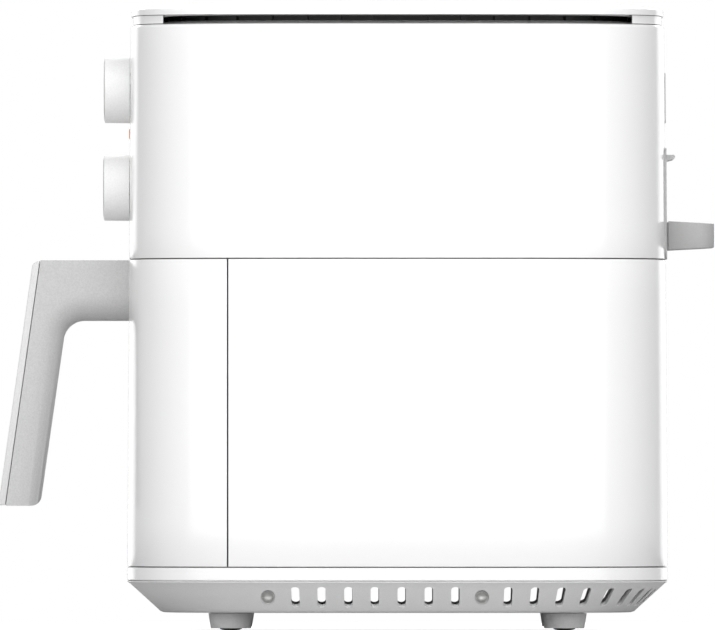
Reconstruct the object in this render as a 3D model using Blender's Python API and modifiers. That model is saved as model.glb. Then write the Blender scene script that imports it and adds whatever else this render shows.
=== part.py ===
"""Hot-air fryer with a pull-out drawer, two front knobs and a rear wall spacer.

Metres, +Z up. The front, with the drawer and the knobs, faces -Y. The world origin is on the
floor under the middle of the object's box. Everything is modelled about the middle of the body,
and the empty "body_centre" carries it to its place behind the handle.
"""
import bpy
import bmesh
from math import atan2, copysign, cos, pi, radians, sin, tan
from mathutils import Matrix, Vector

# Driving dimensions -------------------------------------------------------------------------

# Clearances
GAP = 0.0003                 # between pieces that touch
SEAM = 0.0005                # visible joint between two covers
RUN_GAP = 0.0010             # round a piece that slides or turns
SHAFT_GAP = 0.0003           # round a shaft in its bore

# The body is a rounded square, bulged on all sides and slightly narrower towards the top
BODY_WIDTH = 0.2670
BODY_DEPTH = 0.2670
BODY_EXPONENT = 4.0
BODY_DRAFT = 0.0066          # inset for each metre of height
COVER_WALL = 0.0025

# Heights, from the floor up
FOOT_STANDOFF = 0.0012
FOOT_HEIGHT = 0.0074
BASE_PAN_HEIGHT = 0.0155
BASE_RING_HEIGHT = 0.0064
LOWER_HEIGHT = 0.1510
UPPER_HEIGHT = 0.1150
NECK_HEIGHT = 0.0040
LID_HEIGHT = 0.0074

# Base
BASE_INSET = 0.0170          # the foot of the taper, in from its upper edge
BASE_WALL = 0.0030
BASE_RING_WALL = 0.0040
DECK_WALL = 0.0020            # the floor of the drawer's bay, part of the ring
DECK_OPENING = (0.1600, 0.1600)
DECK_OPENING_SETBACK = 0.0200 # of the opening's middle, behind the body's
DECK_OPENING_CORNER = 0.0120
FOOT_PLACE = 0.0820
FOOT_TOP_RADIUS = 0.0120
FOOT_BOTTOM_RADIUS = 0.0105
FOOT_POCKET_DEPTH = 0.0016
PAD_RADIUS = 0.0055
SLOT_PITCH = 0.0131
SLOT_START = 0.0020          # the middle slot, behind the middle of the side
SLOT_WIDTH = 0.0040
SLOT_LENGTH = 0.0150         # along the slope of the taper
SLOTS_FORWARD = 4
SLOTS_BACKWARD = 12
BASE_SCREW_STEPS = (-5, 3)   # pitches from the middle slot where a screw takes a slot's place
BASE_SCREW_HOLE_RADIUS = 0.00355
BASE_SCREW_HEAD_HEIGHT = 0.0016
BASE_SCREW_LENGTH = 0.0120
BASE_SCREW_SINK = 0.0008

# Drawer
DRAWER_FRONT_DEPTH = 0.0505  # from the front of the body back to the parting line
BULKHEAD_WALL = 0.0030
INNER_PANEL_WALL = 0.0025
SIDE_SPACE = 0.0335          # from the side of the body in to the drawer pan
REAR_SPACE = 0.0295          # from the back of the body in to the drawer pan
PAN_EXPONENT = 6.0
PAN_WALL = 0.0015
PAN_TAPER = 0.0040
PAN_RIM = 0.0020
PAN_FLOOR_LIFT = 0.0130      # above the lower edge of the lower housing
PAN_TOP_DROP = 0.0105        # below the upper edge of the lower housing
TRAY_LIFT = 0.0080
TRAY_WALL = 0.0015
TRAY_RIM_HEIGHT = 0.0120
TRAY_CLEARANCE = 0.0030
TRAY_SLOTS = 12
TRAY_SLOT_WIDTH = 0.0055
TRAY_SLOT_LENGTH = 0.0300
TRAY_SLOT_PLACE = 0.0480
BUMPER_WIDTH = 0.0140
RAIL_WIDTH = 0.0080
RAIL_PLACE = 0.0700
RAIL_HEIGHT = 0.0040

# Handle: an arm from the top of the drawer front and a leaning leg
HANDLE_WIDTH = 0.0360
HANDLE_REACH = 0.0625        # from the front of the body to the tip
HANDLE_ARM_HEIGHT = 0.0299
HANDLE_DROP = 0.1213
HANDLE_LEAN = radians(8.06)
HANDLE_THICKNESS = 0.0206    # of the leg with its cover, level
HANDLE_COVER_WALL = 0.0034
HANDLE_ELBOW_RADIUS = 0.0123
HANDLE_TOE_RADIUS = 0.0054
HANDLE_CORNER_RADIUS = 0.0050
HANDLE_EDGE_RADIUS = 0.0030
HANDLE_SCREW_SPREAD = 0.0090
HANDLE_SCREW_RADIUS = 0.0020
HANDLE_SCREW_LENGTH = 0.0160

# Front controls
KNOB_RADIUS = 0.0163
KNOB_DEPTH = 0.0120
KNOB_STANDOFF = 0.0008
KNOB_MARK_LENGTH = 0.0090
KNOB_MARK_WIDTH = 0.0012
KNOB_MARK_DEPTH = 0.0006
CONTROL_SHAFT_RADIUS = 0.0030
CONTROL_DROP = 0.0313        # of the temperature knob, below the top of the upper housing
CONTROL_SPACING = 0.0483
CONTROL_SETBACK = 0.0140     # of the switch bodies, behind the front of the body
THERMOSTAT_SIZE = (0.034, 0.024, 0.028)
TIMER_SIZE = (0.044, 0.034, 0.040)
LENS_RADIUS = 0.0032
LENS_DEPTH = 0.0060
LENS_STANDOFF = 0.0006
LENS_DROP = 0.0530

# Top
LID_OVERHANG = -0.0004       # the lid's edge against the body's
LID_WALL = 0.0022
LID_CROWN = 0.0042
LID_CROWN_POWER = 4.8
LID_EDGE_RADIUS = 0.0008
NECK_SETBACK = 0.0158        # of the vent neck, in from the body's edge
NECK_WALL = 0.0030
NECK_WINDOWS = 32
NECK_WINDOW_SHARE = 0.72
NECK_WINDOW_MARGIN = 0.0008
TOP_OPENING_INSET = 0.0300
TOP_EDGE_RADIUS = 0.0015

# Back
OUTLET_HALF_WIDTH = 0.0520
OUTLET_HEIGHT = 0.0550
OUTLET_STANDOFF = 0.0008
OUTLET_CORNER = 0.0060
OUTLET_SLOTS = 6
OUTLET_SLOT_HEIGHT = 0.0022
OUTLET_SLOT_PITCH = 0.0042
OUTLET_SLOT_HALF_WIDTH = 0.0380
OUTLET_SLOT_START = 0.0225
VISOR_HALF_WIDTH = 0.0420
VISOR_REACH = 0.0040
VISOR_HEIGHT = 0.0037
VISOR_DROP = 0.0033          # below the top of the outlet panel
SPACER_HALF_WIDTH = 0.0340
SPACER_REACH = 0.0229        # from the back of the body
SPACER_HEIGHT = 0.0142
SPACER_LIFT = 0.0045         # above the lower edge of the upper housing
SPACER_WALL = 0.0030
SPACER_CORNER = 0.0100
PLATE_HALF_WIDTH = 0.0280
PLATE_HEIGHT = 0.0246
PLATE_LIFT = 0.0670
PLATE_STANDOFF = 0.0005
PLATE_RECESS = 0.0008
PLATE_CORNER = 0.0020
INLET_PLACE = -0.0750
INLET_LIFT = 0.0260
INLET_BORE_RADIUS = 0.0040
INLET_NECK_RADIUS = 0.0058
INLET_FLANGE_RADIUS = 0.0085
INLET_FLANGE_DEPTH = 0.0018

# Heating and air
LINER_WALL = 0.0010
LINER_GAP = 0.0025
DOME_MARGIN = 0.0120         # of the dome, in from the liner's wall
DOME_HEIGHT = 0.0370
DOME_FLANGE = 0.0060
DOME_SHAFT_HOLE = 0.0055
GUARD_DROP = 0.0020
GUARD_ARMS = 6
GUARD_HUB = 0.0120
GUARD_RING = 0.0060
GUARD_ARM_ANGLE = radians(8)
COIL_WIRE_RADIUS = 0.0032
COIL_INSET = 0.0105          # of the outer turn, in from the dome's wall
COIL_STEP = 0.0160
COIL_LIFT = 0.0115
COIL_OPENING = radians(24)
COIL_ANGLE = radians(90)
COIL_LEAD = 0.0320
HOT_FAN_RADIUS = 0.0520
HOT_FAN_HEIGHT = 0.0100
HOT_FAN_BLADES = 8
HOT_FAN_LIFT = 0.0210
MOTOR_RADIUS = 0.0290
MOTOR_HEIGHT = 0.0300
MOTOR_LIFT = 0.0080          # of the motor's underside, above the dome
BRACKET_WALL = 0.0018
BRACKET_WIDTH = 0.0360
BRACKET_HALF_SPAN = 0.0620
BRACKET_FOOT = 0.0140
FAN_SHAFT_RADIUS = 0.0030
FAN_HUB_RADIUS = 0.0080
FAN_PLATE = 0.0012
COOLING_FAN_RADIUS = 0.0560
COOLING_FAN_HEIGHT = 0.0110
COOLING_FAN_BLADES = 7
COOLING_FAN_LIFT = 0.0060    # above the motor
SHAFT_END = 0.0030
FUSE_RADIUS = 0.0035
FUSE_LENGTH = 0.0180
FUSE_PLACE = (0.0480, 0.0440)

# Drawer interlock
SWITCH_SIZE = (0.012, 0.020, 0.026)
SWITCH_LIFT = 0.0900
PLUNGER_RADIUS = 0.0020
PLUNGER_LENGTH = 0.0110
PLUNGER_TRAVEL = 0.0015

# Fineness
OUTLINE_POINTS = 48
ROUND_SIDES = 32
SMALL_SIDES = 12

# Levels and places that follow from the sizes -------------------------------------------------

base_bottom = FOOT_STANDOFF + FOOT_HEIGHT + GAP
base_top = base_bottom + BASE_PAN_HEIGHT
ring_bottom = base_top + GAP
ring_top = ring_bottom + BASE_RING_HEIGHT
lower_bottom = ring_top + SEAM
lower_top = lower_bottom + LOWER_HEIGHT
upper_bottom = lower_top + SEAM
upper_top = upper_bottom + UPPER_HEIGHT
neck_bottom = upper_top + GAP
neck_top = neck_bottom + NECK_HEIGHT
lid_bottom = neck_top + GAP
lid_top = lid_bottom + LID_HEIGHT

front_face = -BODY_DEPTH / 2
back_face = BODY_DEPTH / 2
split_y = front_face + DRAWER_FRONT_DEPTH
bulkhead_back = split_y + BULKHEAD_WALL
pan_front = bulkhead_back + RUN_GAP
pan_back = back_face - REAR_SPACE
chamber_y = (pan_front + pan_back) / 2
pan_half_x = BODY_WIDTH / 2 - SIDE_SPACE
pan_half_y = (pan_back - pan_front) / 2
pan_bottom = lower_bottom + PAN_FLOOR_LIFT
pan_top = lower_top - PAN_TOP_DROP
liner_half_x = pan_half_x + LINER_GAP
liner_back = pan_back + LINER_GAP
liner_bottom = pan_bottom - RAIL_HEIGHT - 2 * GAP
liner_top = pan_top + LINER_GAP + RUN_GAP
dome_radius = min(liner_half_x, pan_half_y + LINER_GAP) - DOME_MARGIN
dome_bottom = liner_top + LINER_WALL + GAP
dome_top = dome_bottom + DOME_HEIGHT
motor_bottom = dome_top + MOTOR_LIFT
motor_top = motor_bottom + MOTOR_HEIGHT
cooling_fan_bottom = motor_top + COOLING_FAN_LIFT
cooling_fan_top = cooling_fan_bottom + COOLING_FAN_HEIGHT
handle_tip = front_face - HANDLE_REACH
spacer_end = back_face + SPACER_REACH
body_shift = -(handle_tip + spacer_end) / 2
temperature_z = upper_top - CONTROL_DROP
timer_z = temperature_z - CONTROL_SPACING
lens_z = upper_top - LENS_DROP


def inset_at(z):
    """How far the body has drawn in at height z, against its lower edge."""
    return BODY_DRAFT * (z - ring_top)


# Shape helpers ------------------------------------------------------------------------------

def rim_point(angle, half_x, half_y, exponent=BODY_EXPONENT):
    """The point at an angle on a rounded square with bulged sides."""
    reach = (abs(cos(angle)) ** exponent + abs(sin(angle)) ** exponent) ** (-1 / exponent)
    return Vector((half_x * reach * cos(angle), half_y * reach * sin(angle)))


def rim_normal(point, half_x, half_y, exponent=BODY_EXPONENT):
    """The outward direction of that outline at one of its points."""
    across = (abs(point.x) / half_x) ** (exponent - 1) / half_x
    along = (abs(point.y) / half_y) ** (exponent - 1) / half_y
    return Vector((copysign(across, point.x), copysign(along, point.y))).normalized()


def outline(half_x, half_y, z, centre_y=0.0, exponent=BODY_EXPONENT):
    """Points round that outline, anticlockwise from +X."""
    points = []
    for step in range(OUTLINE_POINTS):
        spot = rim_point(2 * pi * step / OUTLINE_POINTS, half_x, half_y, exponent)
        points.append(Vector((spot.x, spot.y + centre_y, z)))
    return points


def body_outline(z, inset=0.0, height=None):
    """The body's own outline at height z, moved in by inset; height puts it at another level."""
    drawn_in = inset_at(z) + inset
    level = z if height is None else height
    return outline(BODY_WIDTH / 2 - drawn_in, BODY_DEPTH / 2 - drawn_in, level)


def back_wall_point(x, z):
    """The point on the body's back wall at x and height z, and its outward direction."""
    half_x = BODY_WIDTH / 2 - inset_at(z)
    half_y = BODY_DEPTH / 2 - inset_at(z)
    reach = half_y * (1 - (abs(x) / half_x) ** BODY_EXPONENT) ** (1 / BODY_EXPONENT)
    normal = rim_normal(Vector((x, reach)), half_x, half_y)
    return Vector((x, reach, z)), Vector((normal.x, normal.y, 0))


def loft(sections, ring=False):
    """A closed mesh through outlines of equal length, from one to the next.

    The first and last outline are filled, or joined to each other where ring is set.
    """
    mesh = bmesh.new()
    loops = [[mesh.verts.new(point) for point in section] for section in sections]
    pairs = list(zip(loops, loops[1:]))
    if ring:
        pairs.append((loops[-1], loops[0]))
    for lower, upper in pairs:
        for index in range(len(lower)):
            after = (index + 1) % len(lower)
            mesh.faces.new((lower[index], lower[after], upper[after], upper[index]))
    if not ring:
        mesh.faces.new(loops[0][::-1])
        mesh.faces.new(loops[-1])
    if mesh.calc_volume(signed=True) < 0:
        bmesh.ops.reverse_faces(mesh, faces=mesh.faces)
    return mesh


def keep_behind(mesh, y, front=False):
    """Cut a closed mesh at a plane across the body, keep the part behind it, and close the cut."""
    geometry = mesh.verts[:] + mesh.edges[:] + mesh.faces[:]
    bmesh.ops.bisect_plane(mesh, geom=geometry, plane_co=(0, y, 0), plane_no=(0, 1, 0),
                           clear_inner=not front, clear_outer=front)
    open_edges = [edge for edge in mesh.edges if edge.is_boundary]
    bmesh.ops.holes_fill(mesh, edges=open_edges)
    bmesh.ops.recalc_face_normals(mesh, faces=mesh.faces)
    return mesh


def block(size, centre, radius=0.0, axis=2, segments=3):
    """A box, with its four edges along one axis rounded."""
    mesh = bmesh.new()
    bmesh.ops.create_cube(mesh, size=1.0)
    bmesh.ops.scale(mesh, vec=size, verts=mesh.verts)
    if radius:
        edges = [edge for edge in mesh.edges
                 if abs((edge.verts[0].co - edge.verts[1].co).normalized()[axis]) > 0.9]
        bmesh.ops.bevel(mesh, geom=edges, offset=radius, segments=segments, profile=0.5,
                        affect="EDGES")
    bmesh.ops.translate(mesh, vec=centre, verts=mesh.verts)
    return mesh


def rod(radius, start, end, sides=SMALL_SIDES, end_radius=None):
    """A cylinder or cone between two points."""
    start = Vector(start)
    end = Vector(end)
    mesh = bmesh.new()
    turn = (end - start).to_track_quat("Z", "Y").to_matrix().to_4x4()
    bmesh.ops.create_cone(mesh, cap_ends=True, segments=sides, radius1=radius,
                          radius2=radius if end_radius is None else end_radius,
                          depth=(end - start).length,
                          matrix=Matrix.Translation((start + end) / 2) @ turn)
    return mesh


def add_to(group, one, matrix):
    """Put a mesh into a group of meshes, at a place and turn."""
    bmesh.ops.transform(one, matrix=matrix, verts=one.verts)
    if matrix.determinant() < 0:
        bmesh.ops.reverse_faces(one, faces=one.faces)
    scratch = bpy.data.meshes.new("scratch")
    one.to_mesh(scratch)
    group.from_mesh(scratch)
    bpy.data.meshes.remove(scratch)
    one.free()


def arc(centre, radius, start, end, steps):
    """Points on an arc in a plane, with both ends."""
    return [(centre[0] + radius * cos(start + (end - start) * step / steps),
             centre[1] + radius * sin(start + (end - start) * step / steps))
            for step in range(steps + 1)]


def rounded(corners, steps=5):
    """A closed outline from (point, radius) corners, each corner turned into an arc."""
    points = []
    count = len(corners)
    for index, (corner, radius) in enumerate(corners):
        here = Vector(corner)
        before = (Vector(corners[index - 1][0]) - here).normalized()
        after = (Vector(corners[(index + 1) % count][0]) - here).normalized()
        if radius <= 0:
            points.append(tuple(here))
            continue
        half_angle = before.angle(after) / 2
        centre = here + (before + after).normalized() * (radius / sin(half_angle))
        first = here + before * (radius / tan(half_angle)) - centre
        last = here + after * (radius / tan(half_angle)) - centre
        start = atan2(first.y, first.x)
        sweep = (atan2(last.y, last.x) - start + pi) % (2 * pi) - pi
        points += arc(centre, radius, start, start + sweep, steps)
    return points


# Scene helpers ------------------------------------------------------------------------------

for leftover in list(bpy.data.objects):
    bpy.data.objects.remove(leftover, do_unlink=True)

fryer = bpy.data.collections.new("hot_air_fryer")
cutters = bpy.data.collections.new("cutters")
bpy.context.scene.collection.children.link(fryer)
bpy.context.scene.collection.children.link(cutters)


def empty(name, parent=None, location=(0, 0, 0)):
    made = bpy.data.objects.new(name, None)
    made.empty_display_size = 0.01
    made.parent = parent
    made.location = location
    fryer.objects.link(made)
    return made


def mesh_object(name, mesh, collection, parent, location, rotation):
    data = bpy.data.meshes.new(name)
    mesh.to_mesh(data)
    mesh.free()
    made = bpy.data.objects.new(name, data)
    made.parent = parent
    made.location = location
    made.rotation_euler = rotation
    collection.objects.link(made)
    return made


def smooth(piece):
    piece.data.shade_smooth()
    piece.data.set_sharp_from_angle(angle=radians(35))


def finish(piece, colour, roughness, metallic=0.0):
    """Give a piece its own material."""
    material = bpy.data.materials.new(piece.name + "_finish")
    material.use_nodes = True
    shader = material.node_tree.nodes["Principled BSDF"]
    shader.inputs["Base Color"].default_value = (*colour, 1.0)
    shader.inputs["Roughness"].default_value = roughness
    shader.inputs["Metallic"].default_value = metallic
    piece.data.materials.clear()
    piece.data.materials.append(material)


WHITE_GLOSS = ((0.90, 0.90, 0.89), 0.22)
WHITE_SATIN = ((0.86, 0.86, 0.86), 0.40)
GREY_MATT = ((0.56, 0.56, 0.56), 0.55)
GREY_PALE = ((0.62, 0.62, 0.62), 0.50)
GREY_FOOT = ((0.36, 0.36, 0.36), 0.55)
BLACK_MATT = ((0.020, 0.020, 0.020), 0.50)
RUBBER = ((0.015, 0.015, 0.015), 0.85)
NONSTICK = ((0.045, 0.045, 0.048), 0.42)
STEEL = ((0.60, 0.60, 0.61), 0.32, 1.0)
ALUMINISED = ((0.66, 0.66, 0.65), 0.45, 1.0)
PHENOLIC = ((0.05, 0.05, 0.05), 0.60)
SILICONE = ((0.07, 0.07, 0.07), 0.70)
AMBER = ((0.80, 0.26, 0.04), 0.15)


def piece(name, mesh, look, parent=None, location=(0, 0, 0), rotation=(0, 0, 0)):
    made = mesh_object(name, mesh, fryer, parent or body_centre, location, rotation)
    smooth(made)
    finish(made, *look)
    return made


def cutter(name, mesh, parent=None, location=(0, 0, 0), rotation=(0, 0, 0)):
    made = mesh_object(name, mesh, cutters, parent or body_centre, location, rotation)
    made.hide_render = True
    made.display_type = "WIRE"
    return made


def boolean(target, tool, operation="DIFFERENCE"):
    change = target.modifiers.new(operation.lower() + "_" + tool.name, "BOOLEAN")
    change.operation = operation
    change.solver = "EXACT"
    change.object = tool


def cut(target, name, mesh, location=(0, 0, 0), rotation=(0, 0, 0)):
    tool = cutter(name, mesh, target.parent, location, rotation)
    boolean(target, tool)
    return tool


def extruded(name, points, thickness):
    """A flat outline made thick: a filled curve turned into a mesh."""
    curve = bpy.data.curves.new(name + "_outline", "CURVE")
    curve.dimensions = "2D"
    curve.fill_mode = "BOTH"
    curve.extrude = thickness / 2
    spline = curve.splines.new("POLY")
    spline.points.add(len(points) - 1)
    for target, point in zip(spline.points, points):
        target.co = (point[0], point[1], 0.0, 1.0)
    spline.use_cyclic_u = True
    return welded(bpy.data.objects.new(name + "_curve", curve))


def welded(source):
    """The mesh of a curve object with its caps joined on; the curve is removed."""
    bpy.context.scene.collection.objects.link(source)
    bpy.context.view_layer.update()
    evaluated = source.evaluated_get(bpy.context.evaluated_depsgraph_get())
    data = bpy.data.meshes.new_from_object(evaluated)
    mesh = bmesh.new()
    mesh.from_mesh(data)
    bmesh.ops.remove_doubles(mesh, verts=mesh.verts, dist=0.00001)
    bmesh.ops.recalc_face_normals(mesh, faces=mesh.faces)
    bpy.data.objects.remove(source, do_unlink=True)
    bpy.data.meshes.remove(data)
    return mesh


def turned(name, profile, look, parent=None, location=(0, 0, 0), rotation=(0, 0, 0),
           sides=ROUND_SIDES, closed=False):
    """A turned piece: the profile runs down the outer side, as (radius, height) points."""
    mesh = bmesh.new()
    verts = [mesh.verts.new((radius, 0, height)) for radius, height in profile]
    for pair in zip(verts, verts[1:]):
        mesh.edges.new(pair)
    if closed:
        mesh.edges.new((verts[-1], verts[0]))
    made = mesh_object(name, mesh, fryer, parent or body_centre, location, rotation)
    screw = made.modifiers.new("turn", "SCREW")
    screw.steps = sides
    screw.render_steps = sides
    screw.use_merge_vertices = True
    screw.merge_threshold = 0.00002
    finish(made, *look)
    return made


# Empties ------------------------------------------------------------------------------------

body_centre = empty("body_centre", location=(0, body_shift, 0))
drawer_slide = empty("drawer_slide", body_centre, (0, split_y, 0))
fan_axis = empty("fan_axis", body_centre, (0, chamber_y, 0))


# Base ---------------------------------------------------------------------------------------

def side_places(half_x, half_y):
    """Step number, point and outward direction of each slot or screw place along one side."""
    fine = 400
    points = [rim_point(step / fine * pi / 2, half_x, half_y) for step in range(-fine, fine + 1)]
    lengths = [0.0]
    for before, after in zip(points, points[1:]):
        lengths.append(lengths[-1] + (after - before).length)
    middle = lengths[fine]
    places = []
    for number in range(BASE_SCREW_STEPS[0], SLOTS_BACKWARD + 1):
        target = middle + SLOT_START + SLOT_PITCH * number
        point = next((spot for spot, length in zip(points, lengths) if length > target), None)
        if point is not None:
            places.append((number, point, rim_normal(point, half_x, half_y)))
    return places


def make_base():
    half = BODY_DEPTH / 2
    foot_half = half - BASE_INSET
    floor_z = base_bottom + BASE_WALL
    wide = BODY_WIDTH / 2
    sections = [outline(wide - BASE_INSET - BASE_WALL, foot_half - BASE_WALL, floor_z),
                outline(wide - BASE_WALL, half - BASE_WALL, base_top),
                outline(wide, half, base_top),
                outline(wide - BASE_INSET, foot_half, base_bottom)]
    pan = piece("base_pan", loft(sections), GREY_PALE)

    slope = atan2(BASE_PAN_HEIGHT, BASE_INSET)
    middle_z = (base_bottom + base_top) / 2
    across = Vector((sin(slope), -cos(slope)))
    slots = bmesh.new()
    screws = []
    for side in (1, -1):
        for number, place, outward in side_places(wide - BASE_INSET / 2, half - BASE_INSET / 2):
            normal = Vector((side * outward.x * across.x, outward.y * across.x, across.y))
            centre = Vector((side * place.x, place.y, middle_z))
            if number in BASE_SCREW_STEPS:
                screws.append((centre, normal, side, number))
                continue
            if number < -SLOTS_FORWARD:
                continue
            level = Vector((-side * outward.y, outward.x, 0)) * side
            frame = Matrix((level, normal.cross(level), normal)).transposed().to_4x4()
            one = block((SLOT_WIDTH, SLOT_LENGTH, 4 * BASE_WALL), (0, 0, 0),
                        radius=0.45 * SLOT_WIDTH, axis=2, segments=1)
            add_to(slots, one, Matrix.Translation(centre) @ frame)
    cut(pan, "base_slots", slots)

    for centre, normal, side, number in screws:
        label = ("right" if side > 0 else "left") + ("_front" if number < 0 else "_back")
        reach = 2 * BASE_WALL
        hole = rod(BASE_SCREW_HOLE_RADIUS, centre - normal * reach, centre + normal * reach, 16)
        cut(pan, "base_screw_hole_" + label, hole)
        head_radius = BASE_SCREW_HOLE_RADIUS - GAP
        profile = [(0.0, 0.0), (head_radius, 0.0), (head_radius, -BASE_SCREW_HEAD_HEIGHT),
                   (head_radius / 2, -BASE_SCREW_HEAD_HEIGHT),
                   (head_radius / 2, -BASE_SCREW_LENGTH), (0.0, -BASE_SCREW_LENGTH)]
        turned("base_screw_" + label, profile, STEEL,
               location=centre - normal * BASE_SCREW_SINK,
               rotation=normal.to_track_quat("Z", "Y").to_euler(), sides=SMALL_SIDES)

    ring = [outline(wide - BASE_RING_WALL, half - BASE_RING_WALL, ring_top - DECK_WALL),
            outline(wide - BASE_RING_WALL, half - BASE_RING_WALL, ring_bottom),
            outline(wide, half, ring_bottom),
            body_outline(ring_top)]
    deck = piece("base_ring", loft(ring), WHITE_GLOSS)
    cut(deck, "base_air_opening",
        block((*DECK_OPENING, 4 * DECK_WALL), (0, DECK_OPENING_SETBACK, ring_top),
              radius=DECK_OPENING_CORNER, axis=2, segments=4))

    for x_side, x_name in ((1, "right"), (-1, "left")):
        for y_side, y_name in ((-1, "front"), (1, "back")):
            label = y_name + "_" + x_name
            spot = (x_side * FOOT_PLACE, y_side * FOOT_PLACE, 0)
            pocket = PAD_RADIUS + GAP
            top = FOOT_STANDOFF + FOOT_HEIGHT
            pocket_top = FOOT_STANDOFF + FOOT_POCKET_DEPTH
            turned("foot_" + label,
                   [(0, top), (FOOT_TOP_RADIUS, top), (FOOT_BOTTOM_RADIUS, FOOT_STANDOFF),
                    (pocket, FOOT_STANDOFF), (pocket, pocket_top), (0, pocket_top)],
                   GREY_FOOT, location=spot, sides=24)
            turned("foot_pad_" + label,
                   [(0, pocket_top - GAP), (PAD_RADIUS, pocket_top - GAP),
                    (PAD_RADIUS, FOOT_STANDOFF / 2), (0.8 * PAD_RADIUS, 0), (0, 0)],
                   RUBBER, location=spot, sides=16)


# Housing ------------------------------------------------------------------------------------

def make_lower_housing():
    solid = loft([body_outline(lower_bottom), body_outline(lower_top)])
    housing = piece("lower_housing", keep_behind(solid, split_y), WHITE_GLOSS)
    over = COVER_WALL
    cavity = loft([body_outline(lower_bottom, COVER_WALL, lower_bottom - over),
                   body_outline(lower_top, COVER_WALL, lower_top + over)])
    cut(housing, "lower_cavity", keep_behind(cavity, bulkhead_back))
    opening_top = liner_top
    opening_half = liner_half_x
    height = opening_top - liner_bottom
    cut(housing, "drawer_opening",
        block((2 * opening_half, 4 * BULKHEAD_WALL, height),
              (0, split_y, liner_bottom + height / 2), radius=0.004, axis=1))
    plunger_x, plunger_z = switch_place()
    cut(housing, "plunger_hole",
        rod(PLUNGER_RADIUS + RUN_GAP / 2, (plunger_x, split_y - 0.002, plunger_z),
            (plunger_x, bulkhead_back + 0.002, plunger_z)))
    spot, normal = back_wall_point(INLET_PLACE, lower_bottom + INLET_LIFT)
    cut(housing, "inlet_hole",
        rod(INLET_NECK_RADIUS + GAP, spot - normal * 0.008, spot + normal * 0.008, 20))
    flange = 2 * GAP + INLET_FLANGE_DEPTH
    neck_end = -2 * COVER_WALL
    turned("cord_inlet_bush",
           [(INLET_BORE_RADIUS, flange), (INLET_FLANGE_RADIUS - 0.0006, flange),
            (INLET_FLANGE_RADIUS, flange - 0.0006), (INLET_FLANGE_RADIUS, 2 * GAP),
            (INLET_NECK_RADIUS, 2 * GAP), (INLET_NECK_RADIUS, neck_end),
            (INLET_BORE_RADIUS, neck_end)],
           BLACK_MATT, location=spot, rotation=normal.to_track_quat("Z", "Y").to_euler(),
           sides=20, closed=True)


def make_upper_housing():
    inner = COVER_WALL
    edge = TOP_EDGE_RADIUS
    shoulder = upper_top - edge
    sections = [body_outline(upper_bottom, inner), body_outline(upper_bottom),
                body_outline(shoulder)]
    for step in range(1, 4):
        angle = step / 3 * pi / 2
        sections.append(body_outline(shoulder, edge * (1 - cos(angle)),
                                     shoulder + edge * sin(angle)))
    sections.append(body_outline(upper_top, TOP_OPENING_INSET))
    sections.append(body_outline(upper_top, TOP_OPENING_INSET, upper_top - inner))
    sections.append(body_outline(upper_top, inner, upper_top - inner))
    housing = piece("upper_housing", loft(sections, ring=True), WHITE_GLOSS)

    for label, z in (("temperature", temperature_z), ("timer", timer_z)):
        cut(housing, label + "_shaft_hole",
            rod(CONTROL_SHAFT_RADIUS + RUN_GAP, (0, front_face - 0.002, z),
                (0, front_face + 0.010, z), 16))
    cut(housing, "lens_hole",
        rod(LENS_RADIUS + GAP, (0, front_face - 0.002, lens_z), (0, front_face + 0.010, lens_z), 16))

    clear = 2 * GAP
    cut(housing, "outlet_opening",
        block((2 * (OUTLET_HALF_WIDTH + clear), 0.020, OUTLET_HEIGHT + 2 * clear),
              (0, back_face, upper_bottom + OUTLET_HEIGHT / 2), radius=OUTLET_CORNER, axis=1))
    plate_bottom = upper_bottom + PLATE_LIFT
    plate_top = plate_bottom + PLATE_HEIGHT + 2 * GAP
    recess = cutter("plate_recess", wall_band(plate_bottom, plate_top, -PLATE_RECESS, COVER_WALL))
    keep_window(recess, plate_bottom, plate_top, PLATE_HALF_WIDTH + GAP, PLATE_CORNER + GAP)
    boolean(housing, recess)


def wall_band(bottom, top, inner, outer):
    """A band round the body, from inner to outer beyond its surface."""
    return loft([body_outline(bottom, -inner, bottom - 0.001), body_outline(top, -inner, top + 0.001),
                 body_outline(top, -outer, top + 0.001), body_outline(bottom, -outer, bottom - 0.001)],
                ring=True)


def keep_window(band, bottom, top, half_width, corner):
    """Keep what lies in a rounded rectangle on the back wall."""
    window = cutter(band.name + "_window",
                    block((2 * half_width, 0.040, top - bottom), (0, back_face, (bottom + top) / 2),
                          radius=corner, axis=1, segments=4))
    boolean(band, window, "INTERSECT")
    return band


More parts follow.
